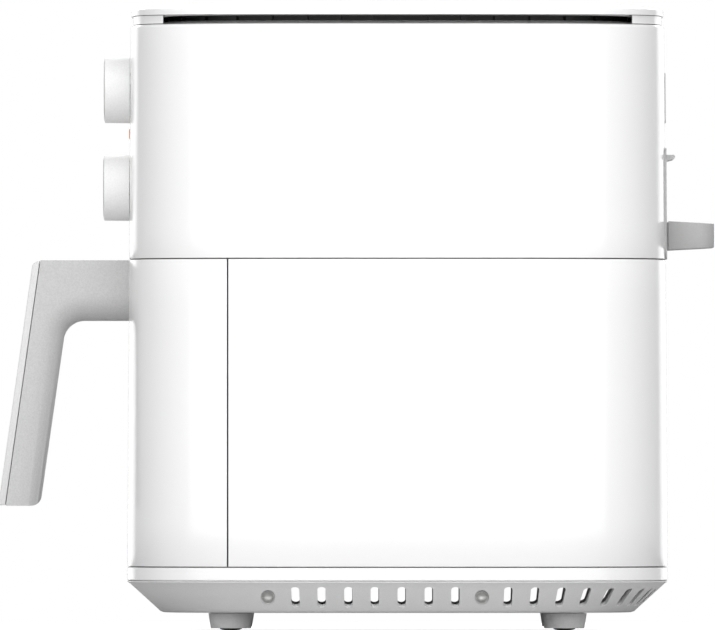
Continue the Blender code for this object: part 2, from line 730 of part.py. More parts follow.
def make_back_pieces():
    top = upper_bottom + OUTLET_HEIGHT - GAP
    panel = piece("rear_outlet_panel", wall_band(upper_bottom, top, -COVER_WALL, OUTLET_STANDOFF),
                  GREY_PALE)
    keep_window(panel, upper_bottom, top, OUTLET_HALF_WIDTH, OUTLET_CORNER)
    visor_top = top - VISOR_DROP
    root = back_face - COVER_WALL
    tip = back_face - inset_at(top) + OUTLET_STANDOFF + VISOR_REACH
    visor_outline = rounded([((root, visor_top), 0), ((root, visor_top - VISOR_HEIGHT), 0),
                             ((root + COVER_WALL + OUTLET_STANDOFF, visor_top - VISOR_HEIGHT), 0),
                             ((tip, visor_top - 0.0020), 0.0008),
                             ((tip, visor_top), 0.0008)], 3)
    visor = cutter("visor_lip", extruded("visor", visor_outline, 2 * VISOR_HALF_WIDTH),
                   rotation=(pi / 2, 0, pi / 2))
    boolean(panel, visor, "UNION")
    for row in range(OUTLET_SLOTS):
        z = upper_bottom + OUTLET_SLOT_START + row * OUTLET_SLOT_PITCH
        cut(panel, "outlet_slot_%d" % row,
            block((2 * OUTLET_SLOT_HALF_WIDTH, 0.016, OUTLET_SLOT_HEIGHT), (0, back_face - 0.001, z)))

    plate_bottom = upper_bottom + PLATE_LIFT + GAP
    plate_top = plate_bottom + PLATE_HEIGHT
    plate = piece("rating_plate",
                  wall_band(plate_bottom, plate_top, -PLATE_RECESS + GAP, PLATE_STANDOFF), GREY_PALE)
    keep_window(plate, plate_bottom, plate_top, PLATE_HALF_WIDTH, PLATE_CORNER)

    root_y = back_face - inset_at(upper_bottom) + OUTLET_STANDOFF + GAP
    wall = SPACER_WALL
    half = SPACER_HALF_WIDTH
    outer = [((-half, root_y), 0), ((-half, spacer_end), SPACER_CORNER),
             ((half, spacer_end), SPACER_CORNER), ((half, root_y), 0)]
    inner = [((half - wall, root_y), 0), ((half - wall, spacer_end - wall), SPACER_CORNER - wall),
             ((wall - half, spacer_end - wall), SPACER_CORNER - wall), ((wall - half, root_y), 0)]
    middle_z = upper_bottom + SPACER_LIFT + SPACER_HEIGHT / 2
    piece("rear_spacer", extruded("rear_spacer", rounded(outer + inner), SPACER_HEIGHT), GREY_MATT,
          location=(0, 0, middle_z))


def make_top():
    inset = NECK_SETBACK
    sections = [body_outline(upper_top, inset + NECK_WALL, neck_bottom),
                body_outline(upper_top, inset, neck_bottom),
                body_outline(upper_top, inset, neck_top),
                body_outline(upper_top, inset + NECK_WALL, neck_top)]
    neck = piece("vent_neck", loft(sections, ring=True), BLACK_MATT)
    half_x = BODY_WIDTH / 2 - inset_at(upper_top) - inset - NECK_WALL / 2
    half_y = BODY_DEPTH / 2 - inset_at(upper_top) - inset - NECK_WALL / 2
    window_height = NECK_HEIGHT - 2 * NECK_WINDOW_MARGIN
    windows = bmesh.new()
    for number in range(NECK_WINDOWS):
        angle = 2 * pi * (number + 0.5) / NECK_WINDOWS
        spot = rim_point(angle, half_x, half_y)
        normal = rim_normal(spot, half_x, half_y)
        width = 2 * pi * spot.length / NECK_WINDOWS * NECK_WINDOW_SHARE
        place = Vector((spot.x, spot.y, (neck_bottom + neck_top) / 2))
        turn = Matrix.Rotation(atan2(normal.y, normal.x), 4, "Z")
        add_to(windows, block((4 * NECK_WALL, width, window_height), (0, 0, 0)),
               Matrix.Translation(place) @ turn)
    cut(neck, "neck_windows", windows)

    rim_drop = LID_EDGE_RADIUS
    edge_z = lid_top - LID_CROWN
    overhang = -LID_OVERHANG
    sections = [body_outline(upper_top, 0.090, lid_top - LID_WALL),
                body_outline(upper_top, 0.030, lid_top - LID_WALL - 0.3 * LID_CROWN),
                body_outline(upper_top, overhang + LID_WALL, edge_z - LID_WALL / 2),
                body_outline(upper_top, overhang + LID_WALL, lid_bottom),
                body_outline(upper_top, overhang, lid_bottom),
                body_outline(upper_top, overhang, edge_z - rim_drop),
                body_outline(upper_top, overhang + 0.3 * rim_drop, edge_z - 0.3 * rim_drop)]
    full = BODY_DEPTH / 2 - inset_at(upper_top) - overhang
    for share in (0.97, 0.91, 0.82, 0.70, 0.50):
        drop = LID_CROWN * share ** LID_CROWN_POWER
        sections.append(body_outline(upper_top, overhang + full * (1 - share), lid_top - drop))
    piece("lid", loft(sections), WHITE_GLOSS)


# Drawer -------------------------------------------------------------------------------------

def switch_place():
    """Where the interlock plunger crosses the bulkhead, beside the drawer opening."""
    x = liner_half_x + LINER_WALL + SWITCH_SIZE[0] / 2 + 2 * GAP
    return x, lower_bottom + SWITCH_LIFT


def in_drawer(mesh):
    """Move a mesh from the body's middle to the drawer's own origin."""
    bmesh.ops.translate(mesh, vec=(0, -split_y, 0), verts=mesh.verts)
    return mesh


def make_drawer():
    back = split_y - SEAM - GAP
    solid = loft([body_outline(lower_bottom), body_outline(lower_top)])
    front = piece("drawer_front", in_drawer(keep_behind(solid, back, front=True)), WHITE_GLOSS,
                  drawer_slide)
    cavity = loft([body_outline(lower_bottom, COVER_WALL, lower_bottom + COVER_WALL),
                   body_outline(lower_top, COVER_WALL, lower_top - COVER_WALL)])
    cut(front, "drawer_front_cavity", in_drawer(cavity))

    inset = COVER_WALL + GAP
    panel = loft([body_outline(lower_bottom, inset, lower_bottom + inset),
                  body_outline(lower_top, inset, lower_top - inset)])
    panel = keep_behind(panel, back - INNER_PANEL_WALL)
    panel = keep_behind(panel, back, front=True)
    piece("drawer_inner_panel", in_drawer(panel), WHITE_SATIN, drawer_slide)

    wall = PAN_WALL
    half_x = pan_half_x
    half_y = pan_half_y
    taper = PAN_TAPER
    heel = 0.010

    def pan_outline(inset, z):
        return outline(half_x - inset, half_y - inset, z, chamber_y, PAN_EXPONENT)

    sections = [pan_outline(taper + heel + wall, pan_bottom + wall),
                pan_outline(taper + wall + heel * 0.3, pan_bottom + wall + heel * 0.3),
                pan_outline(taper + wall, pan_bottom + wall + heel),
                pan_outline(PAN_RIM + wall, pan_top),
                pan_outline(0, pan_top),
                pan_outline(0, pan_top - wall),
                pan_outline(PAN_RIM, pan_top - wall),
                pan_outline(taper, pan_bottom + heel),
                pan_outline(taper + heel * 0.3, pan_bottom + heel * 0.3),
                pan_outline(taper + heel, pan_bottom)]
    piece("drawer_pan", in_drawer(loft(sections)), NONSTICK, drawer_slide)

    for side, label in ((1, "right"), (-1, "left")):
        x = side * pan_half_x * 0.5
        z = pan_top - 0.030
        bridge_front = back + GAP
        depth = pan_front + PAN_RIM - GAP - bridge_front
        if depth > 0:
            piece("pan_bracket_" + label,
                  in_drawer(block((0.030, depth, 0.014), (x, bridge_front + depth / 2, z))),
                  STEEL, drawer_slide)


def make_tray():
    inset = PAN_WALL + PAN_TAPER + TRAY_CLEARANCE
    half_x = pan_half_x - inset
    half_y = pan_half_y - inset
    plate_z = pan_bottom + PAN_WALL + TRAY_LIFT
    wall = TRAY_WALL

    def tray_outline(draw_in, z):
        return outline(half_x - draw_in, half_y - draw_in, z, 0, PAN_EXPONENT)

    sections = [tray_outline(wall + 0.002, plate_z + wall),
                tray_outline(wall, plate_z + wall + 0.002),
                tray_outline(wall, plate_z + TRAY_RIM_HEIGHT),
                tray_outline(0, plate_z + TRAY_RIM_HEIGHT),
                tray_outline(0, plate_z + 0.002),
                tray_outline(0.002, plate_z)]
    tray = piece("crisper_tray", loft(sections), NONSTICK, tray_lift)
    for number in range(TRAY_SLOTS):
        angle = 2 * pi * (number + 0.5) / TRAY_SLOTS
        slot = block((TRAY_SLOT_LENGTH, TRAY_SLOT_WIDTH, 6 * wall), (TRAY_SLOT_PLACE, 0, plate_z),
                     radius=0.45 * TRAY_SLOT_WIDTH, axis=2, segments=2)
        cut(tray, "tray_slot_%d" % number, slot, rotation=(0, 0, angle))

    low = pan_bottom + PAN_WALL + GAP
    for number in range(4):
        angle = pi / 2 * number + pi / 4
        far = 0.80 * min(half_x, half_y)
        leg = block((BUMPER_WIDTH, BUMPER_WIDTH, plate_z - GAP - low),
                    (far * cos(angle), far * sin(angle), (low + plate_z - GAP) / 2),
                    radius=0.004, axis=2)
        piece("tray_foot_%d" % (number + 1), leg, SILICONE, tray_lift)


def make_rails():
    for side, label in ((1, "right"), (-1, "left")):
        length = pan_back - pan_front
        rail = block((RAIL_WIDTH, length, RAIL_HEIGHT),
                     (side * RAIL_PLACE, chamber_y, liner_bottom + GAP + RAIL_HEIGHT / 2),
                     radius=0.0015, axis=1)
        piece("drawer_rail_" + label, rail, STEEL)


def make_handle():
    """The outline is in (Y, Z); an object turned so carries X along the handle's width."""
    top = lower_top
    toe = top - HANDLE_DROP
    root = -(BODY_DEPTH / 2 - inset_at(top - HANDLE_ARM_HEIGHT)) - GAP
    arm_bottom = top - HANDLE_ARM_HEIGHT
    lean = tan(HANDLE_LEAN)
    cover = HANDLE_COVER_WALL / cos(HANDLE_LEAN)

    def front(z):
        """The front of the leg at height z."""
        return handle_tip + lean * (z - toe)

    joint = cover + GAP
    inner = HANDLE_THICKNESS
    grip = rounded([((root, top), 0),
                    ((front(top) + joint, top), 0),
                    ((front(toe) + joint, toe), 0),
                    ((front(toe) + inner, toe), HANDLE_TOE_RADIUS),
                    ((front(arm_bottom) + inner, arm_bottom), HANDLE_ELBOW_RADIUS),
                    ((root, arm_bottom), 0)])
    shell = rounded([((front(top) + cover, top - GAP), 0),
                     ((front(top), top - GAP), HANDLE_CORNER_RADIUS * 0.6),
                     ((front(toe), toe + GAP), 0.0010),
                     ((front(toe) + cover, toe + GAP), 0)])
    turn = (pi / 2, 0, pi / 2)
    place = (0, -split_y, 0)
    body = piece("handle_grip", extruded("handle_grip", grip, HANDLE_WIDTH), GREY_MATT,
                 drawer_slide, place, turn)
    face = piece("handle_cover", extruded("handle_cover", shell, HANDLE_WIDTH), WHITE_SATIN,
                 drawer_slide, place, turn)
    for target, width in ((body, HANDLE_EDGE_RADIUS), (face, 0.0012)):
        bevel = target.modifiers.new("edges", "BEVEL")
        bevel.width = width
        bevel.segments = 2
        bevel.limit_method = "ANGLE"
        bevel.angle_limit = radians(60)
    root_in_drawer = root - split_y
    screw_z = top - HANDLE_ARM_HEIGHT / 2
    head = 2 * HANDLE_SCREW_RADIUS
    inside = front_face + inset_at(screw_z) + COVER_WALL - split_y + GAP
    for side, label in ((1, "right"), (-1, "left")):
        x = side * HANDLE_SCREW_SPREAD
        cut(body, "handle_screw_bore_" + label,
            rod(HANDLE_SCREW_RADIUS + GAP, (x, root_in_drawer + 0.002, screw_z),
                (x, root_in_drawer - HANDLE_SCREW_LENGTH, screw_z)))
        cut(bpy.data.objects["drawer_front"], "handle_screw_hole_" + label,
            rod(HANDLE_SCREW_RADIUS + GAP, (x, root_in_drawer - 0.002, screw_z),
                (x, inside + 0.002, screw_z)))
        profile = [(0, 0.0020), (head, 0.0020), (head, 0), (HANDLE_SCREW_RADIUS, 0),
                   (HANDLE_SCREW_RADIUS, -HANDLE_SCREW_LENGTH), (0, -HANDLE_SCREW_LENGTH)]
        turned("handle_screw_" + label, profile, STEEL, drawer_slide, (x, inside, screw_z),
               (-pi / 2, 0, 0), sides=SMALL_SIDES)


# Controls -----------------------------------------------------------------------------------

def make_controls():
    for label, z, size in (("temperature", temperature_z, THERMOSTAT_SIZE),
                           ("timer", timer_z, TIMER_SIZE)):
        wall = BODY_DEPTH / 2 - inset_at(z)
        axis = empty(label + "_knob_axis", body_centre, (0, -wall, z))
        far = KNOB_STANDOFF + KNOB_DEPTH
        edge = 0.0010
        bore = CONTROL_SHAFT_RADIUS + GAP
        profile = [(0, far), (KNOB_RADIUS - 0.0003 - edge, far),
                   (KNOB_RADIUS - 0.0003 - 0.3 * edge, far - 0.3 * edge),
                   (KNOB_RADIUS - 0.0003, far - edge), (KNOB_RADIUS, KNOB_STANDOFF),
                   (bore, KNOB_STANDOFF), (bore, far - 0.004), (0, far - 0.004)]
        knob = turned(label + "_knob", profile, WHITE_SATIN, axis, rotation=(pi / 2, 0, 0))
        mark = block((KNOB_MARK_WIDTH, 2 * KNOB_MARK_DEPTH, KNOB_MARK_LENGTH),
                     (0, -far, KNOB_RADIUS - 0.003 - KNOB_MARK_LENGTH / 2))
        cut(knob, label + "_knob_mark", mark)
        stem = CONTROL_SETBACK - GAP
        turned(label + "_shaft",
               [(0, far - 0.004 - GAP), (CONTROL_SHAFT_RADIUS, far - 0.004 - GAP),
                (CONTROL_SHAFT_RADIUS, -stem), (0, -stem)],
               STEEL, axis, rotation=(pi / 2, 0, 0), sides=SMALL_SIDES)
        name = "thermostat_body" if label == "temperature" else "timer_body"
        piece(name, block(size, (0, -wall + CONTROL_SETBACK + size[1] / 2, z), radius=0.003, axis=1),
              PHENOLIC)

    wall = BODY_DEPTH / 2 - inset_at(lens_z)
    turned("indicator_lens",
           [(0, LENS_STANDOFF), (0.7 * LENS_RADIUS, LENS_STANDOFF), (LENS_RADIUS, 0),
            (LENS_RADIUS, -LENS_DEPTH), (0, -LENS_DEPTH)],
           AMBER, location=(0, -wall, lens_z), rotation=(pi / 2, 0, 0), sides=16)


# Heating and air ----------------------------------------------------------------------------

def make_liner():
    """A sheet-metal box, open at the front, with a round hole under the dome."""
    front = bulkhead_back + GAP
    half_x = liner_half_x
    depth = liner_back - front
    height = liner_top - liner_bottom
    wall = LINER_WALL
    over = 0.004
    outside = block((2 * (half_x + wall), depth + wall, height + 2 * wall),
                    (0, front + (depth + wall) / 2, liner_bottom + height / 2))
    liner = piece("chamber_liner", outside, ALUMINISED)
    cut(liner, "liner_cavity",
        block((2 * half_x, depth + over, height), (0, front + (depth - over) / 2,
                                                   liner_bottom + height / 2)))
    cut(liner, "liner_top_hole",
        rod(dome_radius - 0.002, (0, chamber_y, liner_top - 0.004), (0, chamber_y, liner_top + 0.006),
            ROUND_SIDES))


def make_dome():
    wall = LINER_WALL
    outer = dome_radius + wall
    profile = [(DOME_SHAFT_HOLE, dome_top), (outer - 0.004, dome_top), (outer, dome_top - 0.004),
               (outer, dome_bottom + wall), (outer + DOME_FLANGE, dome_bottom + wall),
               (outer + DOME_FLANGE, dome_bottom), (dome_radius, dome_bottom),
               (dome_radius, dome_top - 0.004 - wall / 2), (dome_radius - 0.0035, dome_top - wall),
               (DOME_SHAFT_HOLE, dome_top - wall)]
    dome = turned("heater_dome", profile, ALUMINISED, fan_axis, closed=True)
    for label, place, radius in coil_leads():
        cut(dome, "coil_lead_hole_" + label,
            rod(COIL_WIRE_RADIUS + 0.0012, (place[0], place[1], dome_top - 0.004),
                (place[0], place[1], dome_top + 0.004)))

    radius = dome_radius - 2 * GAP
    guard = turned("element_guard",
                   [(0, dome_bottom + GUARD_DROP + wall), (radius, dome_bottom + GUARD_DROP + wall),
                    (radius, dome_bottom + GUARD_DROP), (0, dome_bottom + GUARD_DROP)],
                   STEEL, fan_axis)
    middle = (GUARD_HUB + radius - GUARD_RING) / 2
    for row, (low, high) in enumerate(((GUARD_HUB, middle - 0.003),
                                       (middle + 0.003, radius - GUARD_RING))):
        for arm in range(GUARD_ARMS):
            start = 2 * pi * arm / GUARD_ARMS + GUARD_ARM_ANGLE * (middle / (low + high))
            end = 2 * pi * (arm + 1) / GUARD_ARMS - GUARD_ARM_ANGLE * (middle / (low + high))
            sector = (arc((0, 0), high, start, end, 4) + arc((0, 0), low, end, start, 3))
            cut(guard, "guard_gap_%d_%d" % (row, arm),
                extruded("sector", sector, 4 * wall), (0, 0, dome_bottom + GUARD_DROP + wall / 2))


def coil_leads():
    """The two upright leads of the heating coil: name, place and turn radius."""
    outer = dome_radius - COIL_INSET
    inner = outer - COIL_STEP
    angle = COIL_ANGLE + COIL_OPENING / 2
    return [("outer", (outer * cos(angle), outer * sin(angle)), outer),
            ("inner", (inner * cos(angle), inner * sin(angle)), inner)]


def make_coil():
    """Two turns in one plane, joined at one end, with both leads going up through the dome."""
    z = dome_bottom + COIL_LIFT
    bend = 2.5 * COIL_WIRE_RADIUS
    lead_top = z + COIL_LEAD
    outer_lead, inner_lead = coil_leads()
    outer_place, outer = outer_lead[1:]
    inner_place, inner = inner_lead[1:]
    steps = 22
    start = COIL_ANGLE + COIL_OPENING / 2
    end = COIL_ANGLE + 2 * pi - COIL_OPENING / 2
    points = [(*outer_place, lead_top), (*outer_place, z + bend)]
    for x, y in arc((0, 0), outer, start + bend / outer, end, steps):
        points.append((x, y, z))
    middle = (outer + inner) / 2
    half = (outer - inner) / 2
    turn_centre = Vector((middle * cos(end), middle * sin(end)))
    for step in range(1, 5):
        swing = end + pi * step / 5
        points.append((turn_centre.x + half * cos(swing), turn_centre.y + half * sin(swing), z))
    for x, y in arc((0, 0), inner, end, start + bend / inner, steps - 4):
        points.append((x, y, z))
    points.append((*inner_place, z + bend))
    points.append((*inner_place, lead_top))

    curve = bpy.data.curves.new("heating_coil_path", "CURVE")
    curve.dimensions = "3D"
    curve.bevel_depth = COIL_WIRE_RADIUS
    curve.bevel_resolution = 2
    curve.use_fill_caps = True
    spline = curve.splines.new("POLY")
    spline.points.add(len(points) - 1)
    for target, point in zip(spline.points, points):
        target.co = (*point, 1.0)
    piece("heating_coil", welded(bpy.data.objects.new("coil_curve", curve)), STEEL, fan_axis)


def fan_wheel(name, radius, height, blades, bottom, look):
    """A disc, a hub and straight blades, joined into one piece, with a bore for the shaft."""
    hub_profile = [(0, bottom + height), (FAN_HUB_RADIUS, bottom + height),
                   (FAN_HUB_RADIUS, bottom + FAN_PLATE), (radius, bottom + FAN_PLATE),
                   (radius, bottom), (0, bottom)]
    wheel = turned(name, hub_profile, look, fan_axis)
    thickness = 0.0012
    inner = 0.7 * FAN_HUB_RADIUS
    length = radius - 0.002 - inner
    for number in range(blades):
        blade = block((length, thickness, height - FAN_PLATE / 2),
                      (inner + length / 2, 0, bottom + FAN_PLATE / 2 + (height - FAN_PLATE) / 2))
        tool = cutter(name + "_blade_%d" % number, blade, fan_axis,
                      rotation=(0, 0, 2 * pi * number / blades))
        boolean(wheel, tool, "UNION")
    cut(wheel, name + "_bore",
        rod(FAN_SHAFT_RADIUS + SHAFT_GAP, (0, 0, bottom - 0.002), (0, 0, bottom + height + 0.002), 16))
    return wheel


def make_fan_drive():
    hot_bottom = dome_bottom + HOT_FAN_LIFT
    radius = min(HOT_FAN_RADIUS, coil_leads()[1][2] - 3 * COIL_WIRE_RADIUS)
    fan_wheel("hot_air_fan", radius, HOT_FAN_HEIGHT, HOT_FAN_BLADES, hot_bottom, STEEL)
    fan_wheel("cooling_fan", COOLING_FAN_RADIUS, COOLING_FAN_HEIGHT, COOLING_FAN_BLADES,
              cooling_fan_bottom, BLACK_MATT)
    turned("fan_shaft",
           [(0, cooling_fan_top + SHAFT_END), (FAN_SHAFT_RADIUS, cooling_fan_top + SHAFT_END),
            (FAN_SHAFT_RADIUS, hot_bottom - SHAFT_END), (0, hot_bottom - SHAFT_END)],
           STEEL, fan_axis, sides=16)
    bore = FAN_SHAFT_RADIUS + RUN_GAP / 2
    turned("fan_motor",
           [(bore, motor_top), (MOTOR_RADIUS - 0.003, motor_top), (MOTOR_RADIUS, motor_top - 0.003),
            (MOTOR_RADIUS, motor_bottom), (bore, motor_bottom)],
           STEEL, fan_axis, closed=True)

    wall = BRACKET_WALL
    deck = motor_bottom - GAP
    seat = dome_top + GAP
    span = BRACKET_HALF_SPAN
    knee = span - BRACKET_FOOT
    hat = [(-span, seat), (-span, seat + wall), (-knee - wall, seat + wall), (-knee - wall, deck),
           (knee + wall, deck), (knee + wall, seat + wall), (span, seat + wall), (span, seat),
           (knee, seat), (knee, deck - wall), (-knee, deck - wall), (-knee, seat)]
    bracket = piece("motor_bracket", extruded("motor_bracket", hat, BRACKET_WIDTH), STEEL,
                    fan_axis, rotation=(pi / 2, 0, 0))
    cut(bracket, "bracket_hole",
        rod(3 * FAN_SHAFT_RADIUS, (0, 0, deck - 0.006), (0, 0, deck + 0.004), 16))

    rod_z = dome_top + GAP + FUSE_RADIUS
    fuse = rod(FUSE_RADIUS, (FUSE_PLACE[0] - FUSE_LENGTH / 2, FUSE_PLACE[1], rod_z),
               (FUSE_PLACE[0] + FUSE_LENGTH / 2, FUSE_PLACE[1], rod_z))
    piece("thermal_fuse", fuse, BLACK_MATT, fan_axis)


def make_interlock():
    x, z = switch_place()
    front = bulkhead_back + GAP
    bore = PLUNGER_RADIUS + RUN_GAP / 2
    contact = split_y - SEAM
    plunger_axis = empty("interlock_axis", body_centre, (x, contact, z))
    reach = contact + PLUNGER_LENGTH
    switch = piece("interlock_switch",
                   block(SWITCH_SIZE, (x, front + SWITCH_SIZE[1] / 2, z), radius=0.001, axis=1),
                   PHENOLIC)
    cut(switch, "switch_bore",
        rod(bore, (x, front - 0.002, z), (x, reach + PLUNGER_TRAVEL + RUN_GAP, z)))
    plunger = rod(PLUNGER_RADIUS, (0, GAP, 0), (0, PLUNGER_LENGTH, 0))
    piece("interlock_plunger", plunger, WHITE_SATIN, plunger_axis)


tray_lift = empty("tray_lift", drawer_slide, (0, chamber_y - split_y, 0))

make_base()
make_lower_housing()
make_upper_housing()
make_back_pieces()
make_top()
make_drawer()
make_tray()
make_rails()
make_handle()
make_controls()
make_liner()
make_dome()
make_coil()
make_fan_drive()
make_interlock()
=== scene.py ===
# %% [markdown]
# # A hot-air fryer, from its frame to its finish
#
# The frame holds the working fryer: every piece in its place, and the joints that move it. This
# lesson dresses it. Each cover that shows is modelled again with a fine surface, and every piece
# that stays from the frame gets a material with the grain, coat or brushing of the real one.

# %% Load the frame
import bpy
from math import atan, cos, pi, radians, sin, tan
from mathutils import Matrix, Vector


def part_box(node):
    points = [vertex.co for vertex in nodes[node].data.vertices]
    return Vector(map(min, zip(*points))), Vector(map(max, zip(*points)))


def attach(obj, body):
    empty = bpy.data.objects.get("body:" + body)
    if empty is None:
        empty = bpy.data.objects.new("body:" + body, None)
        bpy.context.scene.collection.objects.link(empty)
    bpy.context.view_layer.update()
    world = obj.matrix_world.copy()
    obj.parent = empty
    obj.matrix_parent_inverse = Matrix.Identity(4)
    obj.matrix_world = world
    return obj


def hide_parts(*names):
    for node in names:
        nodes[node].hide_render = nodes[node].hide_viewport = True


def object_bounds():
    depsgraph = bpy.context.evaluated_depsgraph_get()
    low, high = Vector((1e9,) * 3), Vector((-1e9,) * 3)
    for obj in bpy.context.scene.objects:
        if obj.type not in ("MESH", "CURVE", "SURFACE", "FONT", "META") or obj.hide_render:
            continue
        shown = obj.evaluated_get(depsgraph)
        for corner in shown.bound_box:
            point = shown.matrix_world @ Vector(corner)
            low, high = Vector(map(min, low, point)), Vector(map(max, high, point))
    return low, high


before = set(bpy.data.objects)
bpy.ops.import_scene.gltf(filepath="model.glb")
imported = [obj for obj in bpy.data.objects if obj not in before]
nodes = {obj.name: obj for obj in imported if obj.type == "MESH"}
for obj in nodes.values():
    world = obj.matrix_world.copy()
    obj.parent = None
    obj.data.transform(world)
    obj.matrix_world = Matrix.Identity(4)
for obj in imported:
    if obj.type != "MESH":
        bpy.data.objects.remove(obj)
cad_low, cad_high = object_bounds()
print("frame:", len(nodes), "nodes,", [round(size, 3) for size in cad_high - cad_low], "m")

# %% [markdown]
# ## Measure the frame
#
# Nothing is placed by eye. The body is a rounded square with bulged sides, the same curve at every
# height, and it draws in a little towards the top, as a moulding does so that it leaves its mould.
# Its middle, its width and every level are read from the pieces of the frame.


# %% Read the sizes that the covers follow
def low(name):
    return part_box(name)[0]


ring_low, ring_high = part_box("base_ring")
CENTRE_Y = (ring_low.y + ring_high.y) / 2
HALF = (ring_high.y - ring_low.y) / 2
DRAFT = 0.0066
POWER = 4.0
SEAM_Y = low("lower_housing").y
BACK_Y = CENTRE_Y + HALF
FINE = 192


def half_at(z, inset=0.0):
    """Half the body's depth at height z, moved in by inset."""
    return HALF - DRAFT * (z - ring_high.z) - inset


print("body half", round(HALF, 4), "centre", round(CENTRE_Y, 4), "drawer seam", round(SEAM_Y, 4))

# %% [markdown]
# ## The helpers
#
# Working by hand means: add a primitive, name it, go into edit mode, select by place, extrude,
# resize, bevel, and come back out. These few helpers do just that. The rounded square starts as
# a circle whose points slide out along their own direction, and a whole cover is then drawn from
# it loop by loop, because one loop, resized, is the body's outline at the next height.


# %% Small steps that every piece uses
def clear_selection():
    if bpy.context.mode != "OBJECT":
        bpy.ops.object.mode_set(mode="OBJECT")
    bpy.ops.object.select_all(action="DESELECT")


def named(name):
    """Name the new primitive and put its place into its mesh."""
    piece = bpy.context.object
    piece.name = name
    piece.data.name = name
    bpy.ops.object.transform_apply(location=True, rotation=True, scale=True)
    return piece


def take(piece):
    """Make one piece the only selected and active one."""
    clear_selection()
    piece.select_set(True)
    bpy.context.view_layer.objects.active = piece


def edit(piece, mode="VERT", everything=True):
    take(piece)
    bpy.ops.object.mode_set(mode="EDIT")
    bpy.ops.mesh.select_mode(type=mode)
    bpy.ops.mesh.select_all(action="SELECT" if everything else "DESELECT")


def leave():
    bpy.ops.object.mode_set(mode="OBJECT")


def select_edges(piece, test):
    """Select the edges whose two end points pass a test, and go back to edit mode."""
    edit(piece, "EDGE", everything=False)
    leave()
    points = piece.data.vertices
    for edge in piece.data.edges:
        edge.select = test(points[edge.vertices[0]].co, points[edge.vertices[1]].co)
    bpy.ops.object.mode_set(mode="EDIT")


def select_faces(piece, test):
    edit(piece, "FACE", everything=False)
    leave()
    for face in piece.data.polygons:
        face.select = test(face.center, face.normal)
    bpy.ops.object.mode_set(mode="EDIT")


def apply_modifiers(piece):
    take(piece)
    for modifier in list(piece.modifiers):
        bpy.ops.object.modifier_apply(modifier=modifier.name)


def soften(piece, width, segments, angle):
    """Round every edge sharper than an angle."""
    bevel = piece.modifiers.new("edges", "BEVEL")
    bevel.width = width
    bevel.segments = segments
    bevel.limit_method = "ANGLE"
    bevel.angle_limit = radians(angle)
    bevel.harden_normals = False
    apply_modifiers(piece)


def carve(piece, tool, operation="DIFFERENCE"):
    """Cut a piece with a tool, or join it on, and throw the tool away."""
    cut = piece.modifiers.new("cut", "BOOLEAN")
    cut.operation = operation
    cut.solver = "EXACT"
    cut.object = tool
    apply_modifiers(piece)
    bpy.data.objects.remove(tool, do_unlink=True)


def smooth(piece, angle=35):
    take(piece)
    bpy.ops.object.shade_smooth_by_angle(angle=radians(angle))


def dress(piece, finish, angle=35):
    """Smooth a finished piece, give it its finish, and say how large it is."""
    smooth(piece, angle)
    piece.data.materials.append(finish)
    print(piece.name, len(piece.data.polygons), "faces")


def round_edges(piece, radius, steps, test):
    """Round the edges that pass a test."""
    select_edges(piece, test)
    bpy.ops.mesh.bevel(offset=radius, segments=steps)
    leave()


def outward():
    """In edit mode: merge what meets, and turn every face out."""
    bpy.ops.mesh.select_all(action="SELECT")
    bpy.ops.mesh.remove_doubles(threshold=0.000005)
    bpy.ops.mesh.normals_make_consistent(inside=False)


def copy_of(piece, place):
    """A copy with its own mesh, moved to a place."""
    twin = piece.copy()
    twin.data = piece.data.copy()
    bpy.context.scene.collection.objects.link(twin)
    twin.data.transform(place)
    return twin


def joined(pieces):
    """Join a list of pieces into the first one."""
    take(pieces[0])
    for piece in pieces:
        piece.select_set(True)
    bpy.ops.object.join()
    return pieces[0]


def box(name, size, centre):
    clear_selection()
    bpy.ops.mesh.primitive_cube_add(size=1, location=centre, scale=size)
    return named(name)


def drum(name, radius, depth, centre, rotation=(0, 0, 0), *, vertices):
    clear_selection()
    bpy.ops.mesh.primitive_cylinder_add(vertices=vertices, radius=radius, depth=depth,
                                        location=centre, rotation=rotation)
    return named(name)


# %% Draw a cover loop by loop
def squared(point, half_x, half_y, centre, power):
    """Slide a point of a circle out to the rounded square."""
    side = (point - centre).normalized()
    reach = (abs(side.x) ** power + abs(side.y) ** power) ** (-1 / power)
    return Vector((centre.x + half_x * reach * side.x, centre.y + half_y * reach * side.y, point.z))


def drawn(name, path, centre=None, power=POWER, points=FINE, shape=(1.0, 1.0)):
    """A cover drawn from one loop through (half size, height) steps.

    A path that comes back to its first step is a ring. Any other path has both its ends filled.
    """
    middle = Vector((0, CENTRE_Y, 0)) if centre is None else Vector(centre)
    half, z = path[0]
    clear_selection()
    flat = Vector((middle.x, middle.y, z))
    bpy.ops.mesh.primitive_circle_add(vertices=points, radius=half, location=flat)
    cover = named(name)
    for vertex in cover.data.vertices:
        vertex.co = squared(vertex.co, half * shape[0], half * shape[1], flat, power)
    edit(cover)
    for (before, z_before), (after, z_after) in zip(path, path[1:]):
        bpy.ops.mesh.extrude_edges_move(
            TRANSFORM_OT_translate={"value": (0, 0, z_after - z_before)})
        bpy.ops.transform.resize(value=(after / before, after / before, 1),
                                 center_override=(middle.x, middle.y, z_after))
    if path[0] != path[-1]:
        bpy.ops.mesh.edge_face_add()
        bpy.ops.mesh.select_all(action="DESELECT")
        leave()
        for vertex in cover.data.vertices[:points]:
            vertex.select = True
        bpy.ops.object.mode_set(mode="EDIT")
        bpy.ops.mesh.edge_face_add()
    outward()
    leave()
    return cover


def fillet(half, z, radius):
    """Steps of a rounded upper edge: from the side's top at z - radius to the face at z."""
    return [(half - radius * (1 - cos(step / 6 * pi / 2)),
             z - radius + radius * sin(step / 6 * pi / 2)) for step in range(7)]


